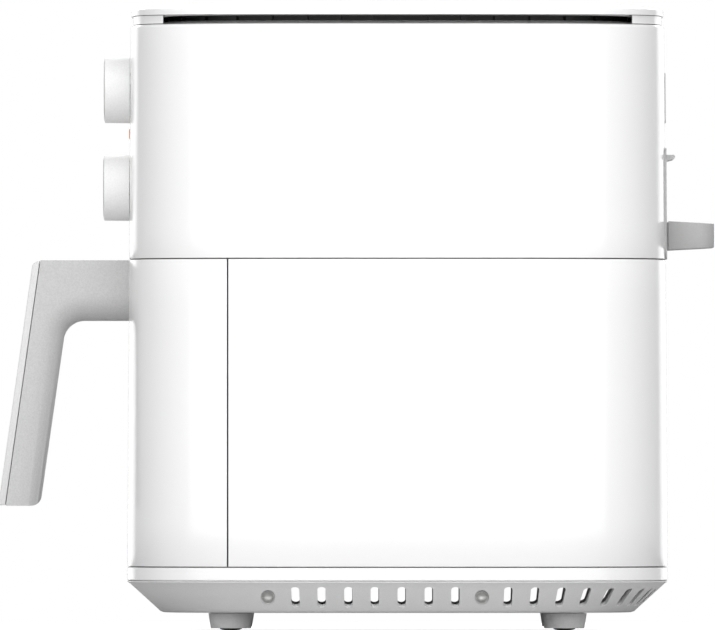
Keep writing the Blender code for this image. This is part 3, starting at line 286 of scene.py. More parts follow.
def keep(piece, place, normal):
    """Cut a piece with a plane, keep what lies on the normal's side, and close the cut."""
    edit(piece)
    bpy.ops.mesh.bisect(plane_co=place, plane_no=normal, clear_inner=True, clear_outer=False,
                        use_fill=True)
    leave()


# %% [markdown]
# ## The finishes
#
# The covers are glossy white moulding: nearly white, a clear sharp shine, and the faint long waves
# that every large moulding has. The handle, the spacer, the base and the outlet are moulded with a
# spark-eroded grain that breaks up the shine. The pan has a sprayed non-stick coat with flecks. All
# grain is computed in object space, so that it stays on the piece when a joint moves.


# %% Helpers for the finishes
def new_finish(name, colour, roughness, metallic=0.0):
    material = bpy.data.materials.new(name)
    material.use_nodes = True
    shader = material.node_tree.nodes["Principled BSDF"]
    shader.inputs["Base Color"].default_value = (*colour, 1)
    shader.inputs["Roughness"].default_value = roughness
    shader.inputs["Metallic"].default_value = metallic
    return material, material.node_tree, shader


def place_noise(tree, scale, detail, stretch=None):
    """Noise in object space; stretch squeezes it along an axis, as brushing does."""
    where = tree.nodes.new("ShaderNodeTexCoord")
    noise = tree.nodes.new("ShaderNodeTexNoise")
    noise.inputs["Scale"].default_value = scale
    noise.inputs["Detail"].default_value = detail
    noise.inputs["Roughness"].default_value = 0.6
    if stretch:
        mapping = tree.nodes.new("ShaderNodeMapping")
        mapping.inputs["Scale"].default_value = stretch
        tree.links.new(where.outputs["Object"], mapping.inputs["Vector"])
        tree.links.new(mapping.outputs["Vector"], noise.inputs["Vector"])
    else:
        tree.links.new(where.outputs["Object"], noise.inputs["Vector"])
    return noise


def ramp(tree, source, low_value, high_value, low_at=0.3, high_at=0.7):
    """Spread a noise over two values or two colours."""
    spread = tree.nodes.new("ShaderNodeValToRGB")
    spread.color_ramp.elements[0].position = low_at
    spread.color_ramp.elements[1].position = high_at
    for element, value in zip(spread.color_ramp.elements, (low_value, high_value)):
        element.color = (*value, 1) if hasattr(value, "__len__") else (value, value, value, 1)
    tree.links.new(source.outputs["Fac"], spread.inputs["Fac"])
    return spread


def bump(tree, shader, source, strength, distance, before=None):
    relief = tree.nodes.new("ShaderNodeBump")
    relief.inputs["Strength"].default_value = strength
    relief.inputs["Distance"].default_value = distance
    tree.links.new(source.outputs["Fac"], relief.inputs["Height"])
    if before:
        tree.links.new(before.outputs["Normal"], relief.inputs["Normal"])
    tree.links.new(relief.outputs["Normal"], shader.inputs["Normal"])
    return relief


def shade(colour, factor):
    return tuple(min(1.0, channel * factor) for channel in colour)


def glossy_moulding(name, colour, roughness=0.16):
    """Shiny plastic: long shallow waves, a faint cloudiness, and a trace of handling marks."""
    material, tree, shader = new_finish(name, colour, roughness)
    waves = place_noise(tree, 28.0, 1.0)
    skin = place_noise(tree, 900.0, 2.0)
    first = bump(tree, shader, waves, 0.25, 0.00003)
    bump(tree, shader, skin, 0.06, 0.00001, first)
    cloud = place_noise(tree, 9.0, 3.0)
    tint = ramp(tree, cloud, shade(colour, 0.992), colour)
    tree.links.new(tint.outputs["Color"], shader.inputs["Base Color"])
    marks = place_noise(tree, 60.0, 4.0)
    rough = ramp(tree, marks, roughness * 0.85, roughness * 1.2)
    tree.links.new(rough.outputs["Color"], shader.inputs["Roughness"])
    shader.inputs["Specular IOR Level"].default_value = 0.5
    return material


def grained_moulding(name, colour, roughness, grain=1300.0, *, contrast):
    """Spark-eroded plastic: a fine pitted grain that also shows as tiny light and dark points."""
    material, tree, shader = new_finish(name, colour, roughness)
    pits = place_noise(tree, grain, 4.0)
    bump(tree, shader, pits, 0.35, 0.00004)
    tint = ramp(tree, pits, shade(colour, 1 - contrast), shade(colour, 1 + contrast), 0.35, 0.65)
    tree.links.new(tint.outputs["Color"], shader.inputs["Base Color"])
    rough = ramp(tree, pits, roughness * 0.85, min(1.0, roughness * 1.15))
    tree.links.new(rough.outputs["Color"], shader.inputs["Roughness"])
    return material


def coated_steel(name, colour, fleck):
    """Non-stick coat: dark, slightly orange-peeled, with sparse pale flecks."""
    material, tree, shader = new_finish(name, colour, 0.38)
    peel = place_noise(tree, 420.0, 2.0)
    bump(tree, shader, peel, 0.2, 0.00005)
    flecks = place_noise(tree, 1500.0, 0.0)
    tint = ramp(tree, flecks, colour, fleck, 0.70, 0.76)
    tree.links.new(tint.outputs["Color"], shader.inputs["Base Color"])
    return material


def sheet_steel(name, colour, roughness=0.3, stretch=(60.0, 900.0, 900.0)):
    """Rolled metal: long fine scratches one way."""
    material, tree, shader = new_finish(name, colour, roughness, 1.0)
    scratches = place_noise(tree, 1.0, 5.0, stretch)
    bump(tree, shader, scratches, 0.15, 0.00003)
    rough = ramp(tree, scratches, roughness * 0.7, roughness * 1.3)
    tree.links.new(rough.outputs["Color"], shader.inputs["Roughness"])
    tint = ramp(tree, scratches, shade(colour, 0.9), colour)
    tree.links.new(tint.outputs["Color"], shader.inputs["Base Color"])
    return material


def soft_rubber(name, colour):
    material, tree, shader = new_finish(name, colour, 0.8)
    dust = place_noise(tree, 700.0, 5.0)
    bump(tree, shader, dust, 0.3, 0.00005)
    tint = ramp(tree, dust, colour, shade(colour, 1.9), 0.45, 0.8)
    tree.links.new(tint.outputs["Color"], shader.inputs["Base Color"])
    return material


# %% The fryer's own finishes
def grey(tone):
    return (tone, tone, tone)


white_cover = glossy_moulding("white_cover", grey(0.90))
white_grained = grained_moulding("white_grained", grey(0.90), 0.42, contrast=0.035)
strip_grey = grained_moulding("strip_grey", grey(0.68), 0.42, contrast=0.04)
panel_black = grained_moulding("panel_black", grey(0.035), 0.45, contrast=0.10)
print_grey = grained_moulding("print_grey", grey(0.10), 0.55, contrast=0.03)
handle_grey = grained_moulding("handle_grey", grey(0.535), 0.50, contrast=0.07)
spacer_grey = grained_moulding("spacer_grey", grey(0.42), 0.50, contrast=0.03)
base_grey = grained_moulding("base_grey", grey(0.86), 0.45, contrast=0.02)
outlet_grey = grained_moulding("outlet_grey", grey(0.50), 0.45, contrast=0.02)
foot_grey = grained_moulding("foot_grey", grey(0.68), 0.45, contrast=0.04)
vent_black = grained_moulding("vent_black", grey(0.009), 0.38, contrast=0.10)
vent_black.node_tree.nodes["Principled BSDF"].inputs["Specular IOR Level"].default_value = 0.20
phenolic = grained_moulding("phenolic", (0.040, 0.038, 0.036), 0.55, 600.0, contrast=0.15)
silicone = soft_rubber("silicone", (0.060, 0.060, 0.062))
amber_lens = glossy_moulding("amber_lens", (0.80, 0.26, 0.04), 0.08)
pad_rubber = soft_rubber("pad_rubber", grey(0.12))
pan_coat = coated_steel("pan_coat", (0.028, 0.028, 0.030), (0.20, 0.20, 0.21))
plain_steel = sheet_steel("plain_steel", (0.56, 0.56, 0.57))
aluminised = sheet_steel("aluminised", (0.64, 0.64, 0.63), 0.42, (300.0, 300.0, 40.0))
coil_steel = sheet_steel("coil_steel", (0.30, 0.29, 0.28), 0.45, (500.0, 500.0, 500.0))
print("finishes:", len(bpy.data.materials))

# %% [markdown]
# ## Studio
#
# The fryer is white on white, so its shape shows only where the light falls off round the corners
# and where thin seams cast a line. A wide strip of light and a high key light stand on the side
# that is looked at. Two weak boxes behind light the edges, and three high ones keep the other sides
# from going dark. The room itself is dim, brighter above than below.


# %% Room
ROOM_LOW = 0.37
ROOM_HIGH = 0.42
ROOM_MIRRORED = 0.66
MIDDLE = (cad_low + cad_high) / 2


def make_room():
    """White where the camera sees it, softer where it is mirrored, and dim as a source of light."""
    world = bpy.data.worlds.new("studio")
    bpy.context.scene.world = world
    world.use_nodes = True
    tree = world.node_tree
    tree.nodes.clear()
    output = tree.nodes.new("ShaderNodeOutputWorld")
    path = tree.nodes.new("ShaderNodeLightPath")
    seen = tree.nodes.new("ShaderNodeBackground")
    seen.inputs["Color"].default_value = (1, 1, 1, 1)
    mirrored = tree.nodes.new("ShaderNodeBackground")
    mirrored.inputs["Color"].default_value = (ROOM_MIRRORED, ROOM_MIRRORED, ROOM_MIRRORED, 1)
    room = tree.nodes.new("ShaderNodeBackground")
    where = tree.nodes.new("ShaderNodeTexCoord")
    split = tree.nodes.new("ShaderNodeSeparateXYZ")
    tones = tree.nodes.new("ShaderNodeMapRange")
    tones.inputs["From Min"].default_value = -0.2
    tones.inputs["From Max"].default_value = 0.4
    tones.inputs["To Min"].default_value = ROOM_LOW
    tones.inputs["To Max"].default_value = ROOM_HIGH
    tree.links.new(where.outputs["Generated"], split.inputs["Vector"])
    tree.links.new(split.outputs["Z"], tones.inputs["Value"])
    tree.links.new(tones.outputs["Result"], room.inputs["Color"])
    in_gloss = tree.nodes.new("ShaderNodeMixShader")
    by_camera = tree.nodes.new("ShaderNodeMixShader")
    tree.links.new(path.outputs["Is Glossy Ray"], in_gloss.inputs["Fac"])
    tree.links.new(room.outputs["Background"], in_gloss.inputs[1])
    tree.links.new(mirrored.outputs["Background"], in_gloss.inputs[2])
    tree.links.new(path.outputs["Is Camera Ray"], by_camera.inputs["Fac"])
    tree.links.new(in_gloss.outputs["Shader"], by_camera.inputs[1])
    tree.links.new(seen.outputs["Background"], by_camera.inputs[2])
    tree.links.new(by_camera.outputs["Shader"], output.inputs["Surface"])


make_room()


# %% Softboxes
def softbox(name, place, target, size, radiance):
    """A rectangle of even light; radiance is how bright the rectangle itself is."""
    light = bpy.data.lights.new(name, "AREA")
    light.shape = "RECTANGLE"
    light.size, light.size_y = size
    light.energy = radiance * pi * size[0] * size[1]
    holder = bpy.data.objects.new(name, light)
    bpy.context.scene.collection.objects.link(holder)
    holder.location = place
    holder.rotation_euler = (Vector(target) - Vector(place)).to_track_quat("-Z", "Y").to_euler()
    holder.visible_camera = False
    return holder


STRIP_DISTANCE = 1.25
STRIP_HALF_WIDTH = STRIP_DISTANCE * tan(radians(62.6))
softbox("strip", (STRIP_DISTANCE, CENTRE_Y, 0.2), (0, CENTRE_Y, 0.2),
        (2 * STRIP_HALF_WIDTH, 0.7), 1.78)
softbox("key", (1.5, CENTRE_Y, 1.5), (0, CENTRE_Y, 0.15), (1.0, 1.0), 4.9)
for side in (-1, 1):
    softbox("edge", (-1.6, CENTRE_Y + side * 0.58, 0.25), (0, CENTRE_Y, 0.25), (0.56, 0.9), 0.95)
    softbox("side", (0, CENTRE_Y + side * 1.8, 1.5), (0, CENTRE_Y, 0.15), (1.2, 1.2), 0.8)
softbox("fill", (-1.8, CENTRE_Y, 1.05), (0, CENTRE_Y, 0.15), (1.2, 1.2), 2.6)

FLOOR_RADIUS = 0.62
clear_selection()
bpy.ops.mesh.primitive_circle_add(vertices=128, radius=FLOOR_RADIUS, fill_type="NGON",
                                  location=(0, 0, -0.0002))
floor = named("floor")
floor_finish, floor_tree, floor_shader = new_finish("floor_finish", grey(0.45), 0.9)
floor_shader.inputs["Emission Color"].default_value = (1, 1, 1, 1)
lit = floor_tree.nodes.new("ShaderNodeMath")
lit.operation = "MULTIPLY"
lit.inputs[1].default_value = 0.85
seen = floor_tree.nodes.new("ShaderNodeLightPath")
floor_tree.links.new(seen.outputs["Is Camera Ray"], lit.inputs[0])
floor_tree.links.new(lit.outputs["Value"], floor_shader.inputs["Emission Strength"])
floor.data.materials.append(floor_finish)
print("studio ready")

# %% [markdown]
# The camera stands a long way off with a long lens, low enough to see through the slots of the
# base, and looks at the right side. So the sides of the fryer look parallel, as in a catalogue.

# %% Camera
SENSOR = 36.0
LENS = 1500.0
VIEW_WIDTH = cad_high.y - cad_low.y
CAMERA_HEIGHT = 0.09
AIM = Vector((0.06, MIDDLE.y, MIDDLE.z + 0.0004))
camera_data = bpy.data.cameras.new("camera")
camera_data.sensor_width = SENSOR
camera_data.lens = LENS
camera_data.dof.use_dof = False
distance = LENS * VIEW_WIDTH / SENSOR + AIM.x
camera_data.clip_start = 0.5
camera_data.clip_end = distance + 5
camera = bpy.data.objects.new("camera", camera_data)
bpy.context.scene.collection.objects.link(camera)
camera.location = (distance, MIDDLE.y, CAMERA_HEIGHT)
camera.rotation_euler = (AIM - camera.location).to_track_quat("-Z", "Y").to_euler()
bpy.context.scene.camera = camera
bpy.context.scene.view_settings.view_transform = "Standard"
print("camera", round(distance, 2), "m away")

# %% [markdown]
# ## Lid
#
# The lid is one shallow crowned moulding. Its crown is nearly flat in the middle and falls away
# faster and faster towards the rim, so the loops follow a power curve. The rim is a plain upright
# edge with a small round. The path starts under the crown and ends on top of it, so the lid gets
# its wall as it is drawn.

# %% Draw the lid
LID_EDGE = 0.0008
LID_WALL = 0.0022
CROWN = 0.0042
CROWN_POWER = 4.8
CROWN_STEPS = 26
TINY = 0.002
lid_low, lid_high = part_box("lid")
lid_half = (lid_high.y - lid_low.y) / 2


def crown_z(share):
    return lid_high.z - CROWN * share ** CROWN_POWER


crown_shares = [step / CROWN_STEPS for step in range(1, CROWN_STEPS)]
lid_path = [(TINY, lid_high.z - LID_WALL)]
lid_path += [((lid_half - LID_WALL) * share, crown_z(share) - LID_WALL) for share in crown_shares]
lid_path += [(lid_half - LID_WALL, lid_high.z - CROWN - LID_WALL + 0.0004),
             (lid_half - LID_WALL, lid_low.z), (lid_half, lid_low.z)]
lid_path += fillet(lid_half, lid_high.z - CROWN + 0.0001, LID_EDGE)
lid_path += [((lid_half - LID_EDGE) * share, crown_z(share)) for share in reversed(crown_shares)]
lid_path += [(TINY, lid_high.z)]
lid = drawn("lid_cover", lid_path)
dress(lid, white_cover)
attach(lid, "housing")
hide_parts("lid")

# %% [markdown]
# ## Vent neck
#
# Between the lid and the housing runs a black band, set well back, where the cooling air goes in.
# It is a row of upright ribs with shallow pockets between them. The ring is drawn as a thin wall,
# and every few faces round it are pushed in together to make a pocket. The air only goes in at the
# two sides: at the front and the rear a white wall stands before the band and fills the gap.

# %% Draw the neck and push in its pockets
neck_low, neck_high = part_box("vent_neck")
neck_half = (neck_high.y - neck_low.y) / 2
POCKETS = 48
NECK_WALL = 0.0030
SEAT_WALL = 0.0100
VENT_REACH = 0.1152
neck = drawn("vent_neck_band", [(neck_half, neck_low.z), (neck_half, neck_low.z + 0.0006),
                                (neck_half, neck_high.z - 0.0006), (neck_half, neck_high.z),
                                (neck_half - NECK_WALL, neck_high.z),
                                (neck_half - NECK_WALL, neck_low.z), (neck_half, neck_low.z)],
             points=POCKETS * 5)
neck_middle = (neck_low.z + neck_high.z) / 2


def in_pocket(centre, normal):
    """The middle band's faces, but for every fifth, which stays as a rib."""
    flat_normal = Vector((centre.x, centre.y - CENTRE_Y)).dot(normal.xy)
    if abs(centre.z - neck_middle) > 0.0002 or flat_normal < 0:
        return False
    turn = (Vector((centre.x, centre.y - CENTRE_Y)).angle_signed(Vector((1, 0))) / (2 * pi)) % 1.0
    return int(turn * POCKETS * 5) % 5 != 0


select_faces(neck, in_pocket)
bpy.ops.mesh.extrude_region_move()
bpy.ops.transform.resize(value=(0.985, 0.985, 1), center_override=(0, CENTRE_Y, neck_middle))
leave()
dress(neck, vent_black, 30)
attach(neck, "housing")
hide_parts("vent_neck")

seat_half = half_at(neck_low.z, 0.0012)
lid_seat = drawn("lid_seat", [(seat_half, neck_low.z), (seat_half, neck_high.z),
                              (seat_half - SEAT_WALL, neck_high.z),
                              (seat_half - SEAT_WALL, neck_low.z), (seat_half, neck_low.z)])
carve(lid_seat, box("side_room", (0.40, 2 * VENT_REACH, 0.04), (0, CENTRE_Y, neck_middle)))
dress(lid_seat, white_cover, 30)
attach(lid_seat, "housing")

# %% [markdown]
# ## Upper housing
#
# One tall loop of glossy plastic with a rounded shoulder and a flat deck inside it, on which the
# vent neck stands. The deck ends in a wide opening under the lid. The rear window for the air
# outlet is carved out after the wall has its thickness, so that its edge shows that thickness.

# %% Draw the upper housing
COVER_WALL = 0.0025
upper_low, upper_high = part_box("upper_housing")
SHOULDER = 0.0016
SMALL_EDGE = 0.0004
DECK_INSET = 0.0300
BANK_INSET = 0.0142
BANK_HEIGHT = 0.0016
upper_path = [(half_at(upper_low.z) - SMALL_EDGE, upper_low.z),
              (half_at(upper_low.z) - 0.0001, upper_low.z + 0.0001),
              (half_at(upper_low.z), upper_low.z + SMALL_EDGE)]
for step in range(1, 8):
    z = upper_low.z + (upper_high.z - SHOULDER - upper_low.z) * step / 8
    upper_path.append((half_at(z), z))
upper_path += fillet(half_at(upper_high.z), upper_high.z, SHOULDER)
upper_path += [(half_at(upper_high.z, 0.0026), upper_high.z),
               (half_at(upper_high.z, BANK_INSET - 0.0010), upper_high.z + BANK_HEIGHT - 0.0001),
               (half_at(upper_high.z, BANK_INSET - 0.0004), upper_high.z + BANK_HEIGHT),
               (half_at(upper_high.z, BANK_INSET), upper_high.z + BANK_HEIGHT - 0.0004),
               (half_at(upper_high.z, BANK_INSET), upper_high.z),
               (half_at(upper_high.z, DECK_INSET), upper_high.z),
               (half_at(upper_high.z, DECK_INSET), upper_high.z - COVER_WALL),
               (half_at(upper_high.z, COVER_WALL), upper_high.z - COVER_WALL),
               (half_at(upper_low.z, COVER_WALL), upper_low.z), upper_path[0]]
upper = drawn("upper_cover", upper_path)
outlet_low, outlet_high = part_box("rear_outlet_panel")
panel_half = outlet_high.x
window = box("window", (2 * panel_half + 0.0010, 0.03, outlet_high.z - outlet_low.z + 0.0008),
             (0, BACK_Y - 0.004, (outlet_low.z + outlet_high.z) / 2))
round_edges(window, 0.0062, 8, lambda a, b: abs(a.y - b.y) > 0.01)
carve(upper, window)
dress(upper, white_cover)
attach(upper, "housing")
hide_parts("upper_housing")

# %% [markdown]
# ## Lower housing and drawer front
#
# Both come from the same loop. A plane across the body splits it: behind the plane is the housing
# that holds the drawer, and before it the drawer front, which therefore wraps round the corners.
# The drawer front turns in at its top and bottom and closes like a tray. The housing gets a front
# wall with a rounded opening for the pan.

# %% Draw the lower housing
lower_low, lower_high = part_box("lower_housing")


def side_path(z_low, z_high):
    """The shared side wall, with a tiny round at both ends."""
    steps = [(half_at(z_low) - SMALL_EDGE, z_low), (half_at(z_low) - 0.0001, z_low + 0.0001)]
    for step in range(8):
        z = z_low + SMALL_EDGE + (z_high - z_low - 2 * SMALL_EDGE) * step / 7
        steps.append((half_at(z), z))
    steps += [(half_at(z_high) - 0.0001, z_high - 0.0001), (half_at(z_high) - SMALL_EDGE, z_high)]
    return steps


lower_steps = side_path(lower_low.z, lower_high.z)
lower_steps += [(half_at(lower_high.z, COVER_WALL), lower_high.z),
                (half_at(lower_low.z, COVER_WALL), lower_low.z), lower_steps[0]]
lower = drawn("lower_cover", lower_steps)
keep(lower, (0, SEAM_Y, 0), (0, 1, 0))
seam_half = half_at(lower_low.z) * (1 - ((CENTRE_Y - SEAM_Y) / HALF) ** POWER) ** (1 / POWER)
dress(lower, white_cover)
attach(lower, "housing")
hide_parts("lower_housing")

# %% Fit the front wall of the drawer bay
BAY_WALL = 0.0033
BAY_LEAD = 0.0003
liner_low, liner_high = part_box("chamber_liner")
bay = box("bay_wall",
          (2 * (seam_half - COVER_WALL) + 0.0012, BAY_WALL, lower_high.z - lower_low.z - 0.0006),
          (0, SEAM_Y - BAY_LEAD + BAY_WALL / 2, (lower_high.z + lower_low.z) / 2))
mouth = box("mouth", (liner_high.x - liner_low.x - 0.002, 0.02, liner_high.z - liner_low.z - 0.002),
            (0, SEAM_Y, (liner_high.z + liner_low.z) / 2))
round_edges(mouth, 0.006, 6, lambda a, b: abs(a.y - b.y) > 0.01)
carve(bay, mouth)
dress(bay, panel_black)
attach(bay, "housing")
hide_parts("lower_housing")

# %% Draw the drawer front
front_low, front_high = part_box("drawer_front")
front = drawn("drawer_cover", [(TINY, front_low.z)] + side_path(front_low.z, front_high.z)
              + [(TINY, front_high.z)])
keep(front, (0, front_high.y, 0), (0, -1, 0))
hollow = drawn("hollow", [(TINY, front_low.z + COVER_WALL),
                          (half_at(front_low.z, COVER_WALL), front_low.z + COVER_WALL),
                          (half_at(front_high.z, COVER_WALL), front_high.z - COVER_WALL),
                          (TINY, front_high.z - COVER_WALL)])
keep(hollow, (0, front_high.y + 0.005, 0), (0, -1, 0))
carve(front, hollow)
dress(front, white_cover)
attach(front, "drawer")
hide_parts("drawer_front")

# %% [markdown]
# ## Base
#
# A white band runs round the foot of the body, and under it the grey base pan tapers in to a flat
# bottom. Air for the fan comes in through slots along the taper. A slot is one rounded bar,
# modelled once and copied to each place, and all are carved out together. Towards the corners the
# bars turn only half as far as the wall does, so that the slots stay open to the side.

# %% Draw the band and the pan
deck_low, deck_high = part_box("base_ring")
BAND_WALL = 0.0040
DECK_WALL = 0.0020
AIR_OPENING = 0.160
AIR_OPENING_SETBACK = 0.020
deck_half = half_at(deck_high.z)
band = drawn("base_band", [(TINY, deck_high.z - DECK_WALL),
                           (HALF - BAND_WALL, deck_high.z - DECK_WALL),
                           (HALF - BAND_WALL, deck_low.z), (HALF - SMALL_EDGE, deck_low.z),
                           (HALF, deck_low.z + SMALL_EDGE), (deck_half, deck_high.z - SMALL_EDGE),
                           (deck_half - SMALL_EDGE, deck_high.z), (TINY, deck_high.z)])
opening = box("air_opening", (AIR_OPENING, AIR_OPENING, 0.02),
              (0, CENTRE_Y + AIR_OPENING_SETBACK, deck_high.z))
round_edges(opening, 0.012, 8, lambda a, b: abs(a.z - b.z) > 0.01)
carve(band, opening)
dress(band, white_cover)
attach(band, "housing")

pan_low, pan_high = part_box("base_pan")
TAPER = 0.0170
BASE_WALL = 0.0016
base_floor = HALF - TAPER
base = drawn("base_shell", [(TINY, pan_low.z + BASE_WALL),
                            (base_floor - BASE_WALL, pan_low.z + BASE_WALL),
                            (HALF - 1.4 * BASE_WALL, pan_high.z), (HALF - SMALL_EDGE, pan_high.z),
                            (HALF, pan_high.z - SMALL_EDGE)]
             + [(HALF - TAPER * share, pan_high.z - (pan_high.z - pan_low.z) * share)
                for share in (0.08, 0.3, 0.6, 0.9, 0.97)]
             + [(base_floor - 0.001, pan_low.z), (TINY, pan_low.z)])

# %% Carve the slots square to the slope
SLOT_PITCH = 0.0131
SLOT_START = 0.0020
SLOT_WIDTH = 0.0041
SLOT_LENGTH = 0.0150
SCREW_STEPS = (-5, 3)
LINE_UP = 0.0054
slope = atan((pan_high.z - pan_low.z) / TAPER)


def along_side(distance):
    """The point and outward direction a distance along the middle of the slope, from its side."""
    half = HALF - TAPER / 2
    point = Vector((half, 0))
    travelled = 0.0
    step = 0.0
    while travelled < abs(distance):
        step += 0.002
        reach = (cos(step) ** POWER + sin(step) ** POWER) ** (-1 / POWER)
        following = Vector((half * reach * cos(step), half * reach * sin(step)))
        travelled += (following - point).length
        point = following
    normal = Vector((point.x ** 3, point.y ** 3)).normalized()
    if distance < 0:
        return Vector((point.x, -point.y)), Vector((normal.x, -normal.y))
    return point, normal


def slot_tool():
    bar = box("slot_bar", (SLOT_WIDTH, SLOT_LENGTH, 0.012), (0, 0, 0))
    round_edges(bar, 0.00203, 6, lambda a, b: abs(a.z - b.z) > 0.005)
    return bar


pattern = slot_tool()
bars = []
for side in (1, -1):
    for number in range(-4, 13):
        if number in SCREW_STEPS:
            continue
        point, outward_flat = along_side(SLOT_START + SLOT_PITCH * number)
        bored = (outward_flat + Vector((1, 0))).normalized()
        facing = Vector((side * bored.x * sin(slope), bored.y * sin(slope), -cos(slope)))
        level = Vector((-side * bored.y, bored.x, 0)) * side
        turn = Matrix((level, facing.cross(level), facing)).transposed().to_4x4()
        line_up = 1 - side * LINE_UP
        place = Vector((side * point.x, CENTRE_Y + line_up * point.y, (pan_low.z + pan_high.z) / 2))
        bars.append(copy_of(pattern, Matrix.Translation(place) @ turn))
bpy.data.objects.remove(pattern, do_unlink=True)
carve(base, joined(bars))

# %% Bore the screw wells
WELL_RADIUS = 0.0035
WELL_DEPTH = 0.0062
SCREW_HEAD = 0.0016
DISH_RADIUS = 0.0041
wells = []
for name in [name for name in nodes if name.startswith("base_screw_")]:
    head_low, head_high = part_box(name)
    side = 1 if head_low.x > 0 else -1
    ahead = head_low.y + head_high.y < 2 * CENTRE_Y
    step = SCREW_STEPS[0] if ahead else SCREW_STEPS[1]
    point, outward_flat = along_side(SLOT_START + SLOT_PITCH * step)
    place = Vector((side * point.x, CENTRE_Y + point.y, (pan_low.z + pan_high.z) / 2))
    sleeve = drum("sleeve", WELL_RADIUS + 0.0012, 0.016, place - Vector((side * 0.0025, 0, 0)),
                  (0, pi / 2, 0), vertices=48)
    keep(sleeve, place - Vector((side * 0.0006, 0, 0)),
         (-side * sin(slope), 0, cos(slope)))
    carve(base, sleeve, "UNION")
    bore = drum("bore", WELL_RADIUS, 0.02, place + Vector((side * (0.01 - WELL_DEPTH), 0, 0)),
                (0, pi / 2, 0), vertices=48)
    carve(base, bore)
    wells.append((name, side, place))
dress(base, base_grey)
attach(base, "housing")
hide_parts("base_pan")
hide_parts("base_ring")
print(len(bars), "slots")

# %% Seat a screw in each well
for name, side, place in wells:
    seat = place - Vector((side * WELL_DEPTH, 0, 0))
    middle = seat + Vector((side * SCREW_HEAD / 2, 0, 0))
    screw = drum(name + "_head", WELL_RADIUS - 0.0003, SCREW_HEAD, middle, (0, pi / 2, 0),
                 vertices=48)
    clear_selection()
    dish_middle = seat + Vector((side * (DISH_RADIUS + 0.0003), 0, 0))
    bpy.ops.mesh.primitive_uv_sphere_add(segments=48, ring_count=32, radius=DISH_RADIUS,
                                         location=dish_middle)
    carve(screw, named("dish"))
    dress(screw, aluminised, 30)
    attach(screw, "housing")
    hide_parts(name)
print(len(wells), "screws")

# %% [markdown]
# ## Feet
#
# Each foot is a short tapered peg, with flats round it where the moulding tool was cut. A black
# rubber dome is pressed into its end, and only the dome touches the worktop.

# %% Model one foot and one pad, and copy them
FOOT_SHARE = 0.92
FOOT_TAPER = 0.895


def model_foot(name, foot_low, foot_high):
    centre = (foot_low + foot_high) / 2
    height = foot_high.z - foot_low.z
    foot = drum(name, FOOT_SHARE * (foot_high.x - foot_low.x) / 2, height, centre, vertices=48)
    select_faces(foot, lambda c, n: n.z < -0.9)
    bpy.ops.transform.resize(value=(FOOT_TAPER, FOOT_TAPER, 1), center_override=centre)
    bpy.ops.mesh.inset(thickness=0.0008)
    bpy.ops.mesh.inset(thickness=0.0035)
    bpy.ops.mesh.extrude_region_move(TRANSFORM_OT_translate={"value": (0, 0, 0.0012)})
    leave()
    select_faces(foot, lambda c, n: abs(n.z) < 0.5)
    bpy.ops.mesh.inset(thickness=0.0007, use_individual=False)
    leave()
    soften(foot, 0.0004, 2, 60)
    dress(foot, foot_grey, 30)
    return foot


def model_pad(name, pad_low, pad_high):
    centre = (pad_low + pad_high) / 2
    radius = (pad_high.x - pad_low.x) / 2
    clear_selection()
    bpy.ops.mesh.primitive_uv_sphere_add(segments=40, ring_count=20, radius=radius, location=centre)
    pad = named(name)
    edit(pad)
    flatness = (pad_high.z - pad_low.z) / (2 * radius)
    bpy.ops.transform.resize(value=(1, 1, flatness), center_override=centre)
    leave()
    dress(pad, pad_rubber, 60)
    return pad


for corner in ("front_right", "back_right", "front_left", "back_left"):
    foot = model_foot("foot_body_" + corner, *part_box("foot_" + corner))
    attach(foot, "housing")
    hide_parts("foot_" + corner)
    pad = model_pad("foot_dome_" + corner, *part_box("foot_pad_" + corner))
    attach(pad, "housing")
    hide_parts("foot_pad_" + corner)
print("feet and pads done")

# %% [markdown]
# ## Handle
#
# Seen from the side the handle is an L: a level arm and a leg that leans out. By hand it is easiest
# to start from the block that holds it all. Planes trim the block's front, a second block with one
# rounded edge carves out the room for the fingers, and the long inner edges, where the fingers
# close, get a much larger round than the others.

# %% Cut the grip out of its block
grip_low, grip_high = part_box("handle_grip")
shell_low, shell_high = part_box("handle_cover")
LEAN = radians(8.06)
LEG = 0.0206
ARM = 0.0299
TOE_ROUND = 0.0054
STRIP = 0.0034 / cos(LEAN)
LEG_LEAD = 0.0014
tip_y = shell_low.y - LEG_LEAD
toe_z = grip_low.z
top_z = grip_high.z


def leg_front(z):
    return tip_y + tan(LEAN) * (z - toe_z)


root_y = grip_high.y + 0.0015
grip = box("grip", (grip_high.x - grip_low.x, root_y - tip_y + 0.01, top_z - toe_z),
           (0, (root_y + tip_y - 0.01) / 2, (top_z + toe_z) / 2))
joint = STRIP + 0.0003
keep(grip, (0, leg_front(toe_z) + joint, toe_z), (0, cos(LEAN), -sin(LEAN)))

room = box("finger_room", (0.08, 0.2, 0.3), (0, leg_front(toe_z) + LEG + 0.1, top_z - ARM - 0.15))
keep(room, (0, leg_front(toe_z) + LEG, toe_z), (0, cos(LEAN), -sin(LEAN)))
edge_y = leg_front(top_z - ARM) + LEG
round_edges(room, 0.0088, 14, lambda a, b: abs(a.x - b.x) > 0.05 and a.z > top_z - ARM - 0.01
            and a.y < edge_y + 0.02)
carve(grip, room)


def inner_edge(a, b):
    """The long edges on the fingers' side: under the arm, round the elbow and down the leg."""
    if abs(a.x - b.x) > 0.001 or abs(a.x) < 0.01:
        return False
    middle = (a + b) / 2
    if middle.z > top_z - 0.001 or middle.z < toe_z + 0.0005:
        return False
    behind = middle.y - (leg_front(middle.z) + joint)
    return behind > 0.002 and middle.y < grip_high.y - 0.0005


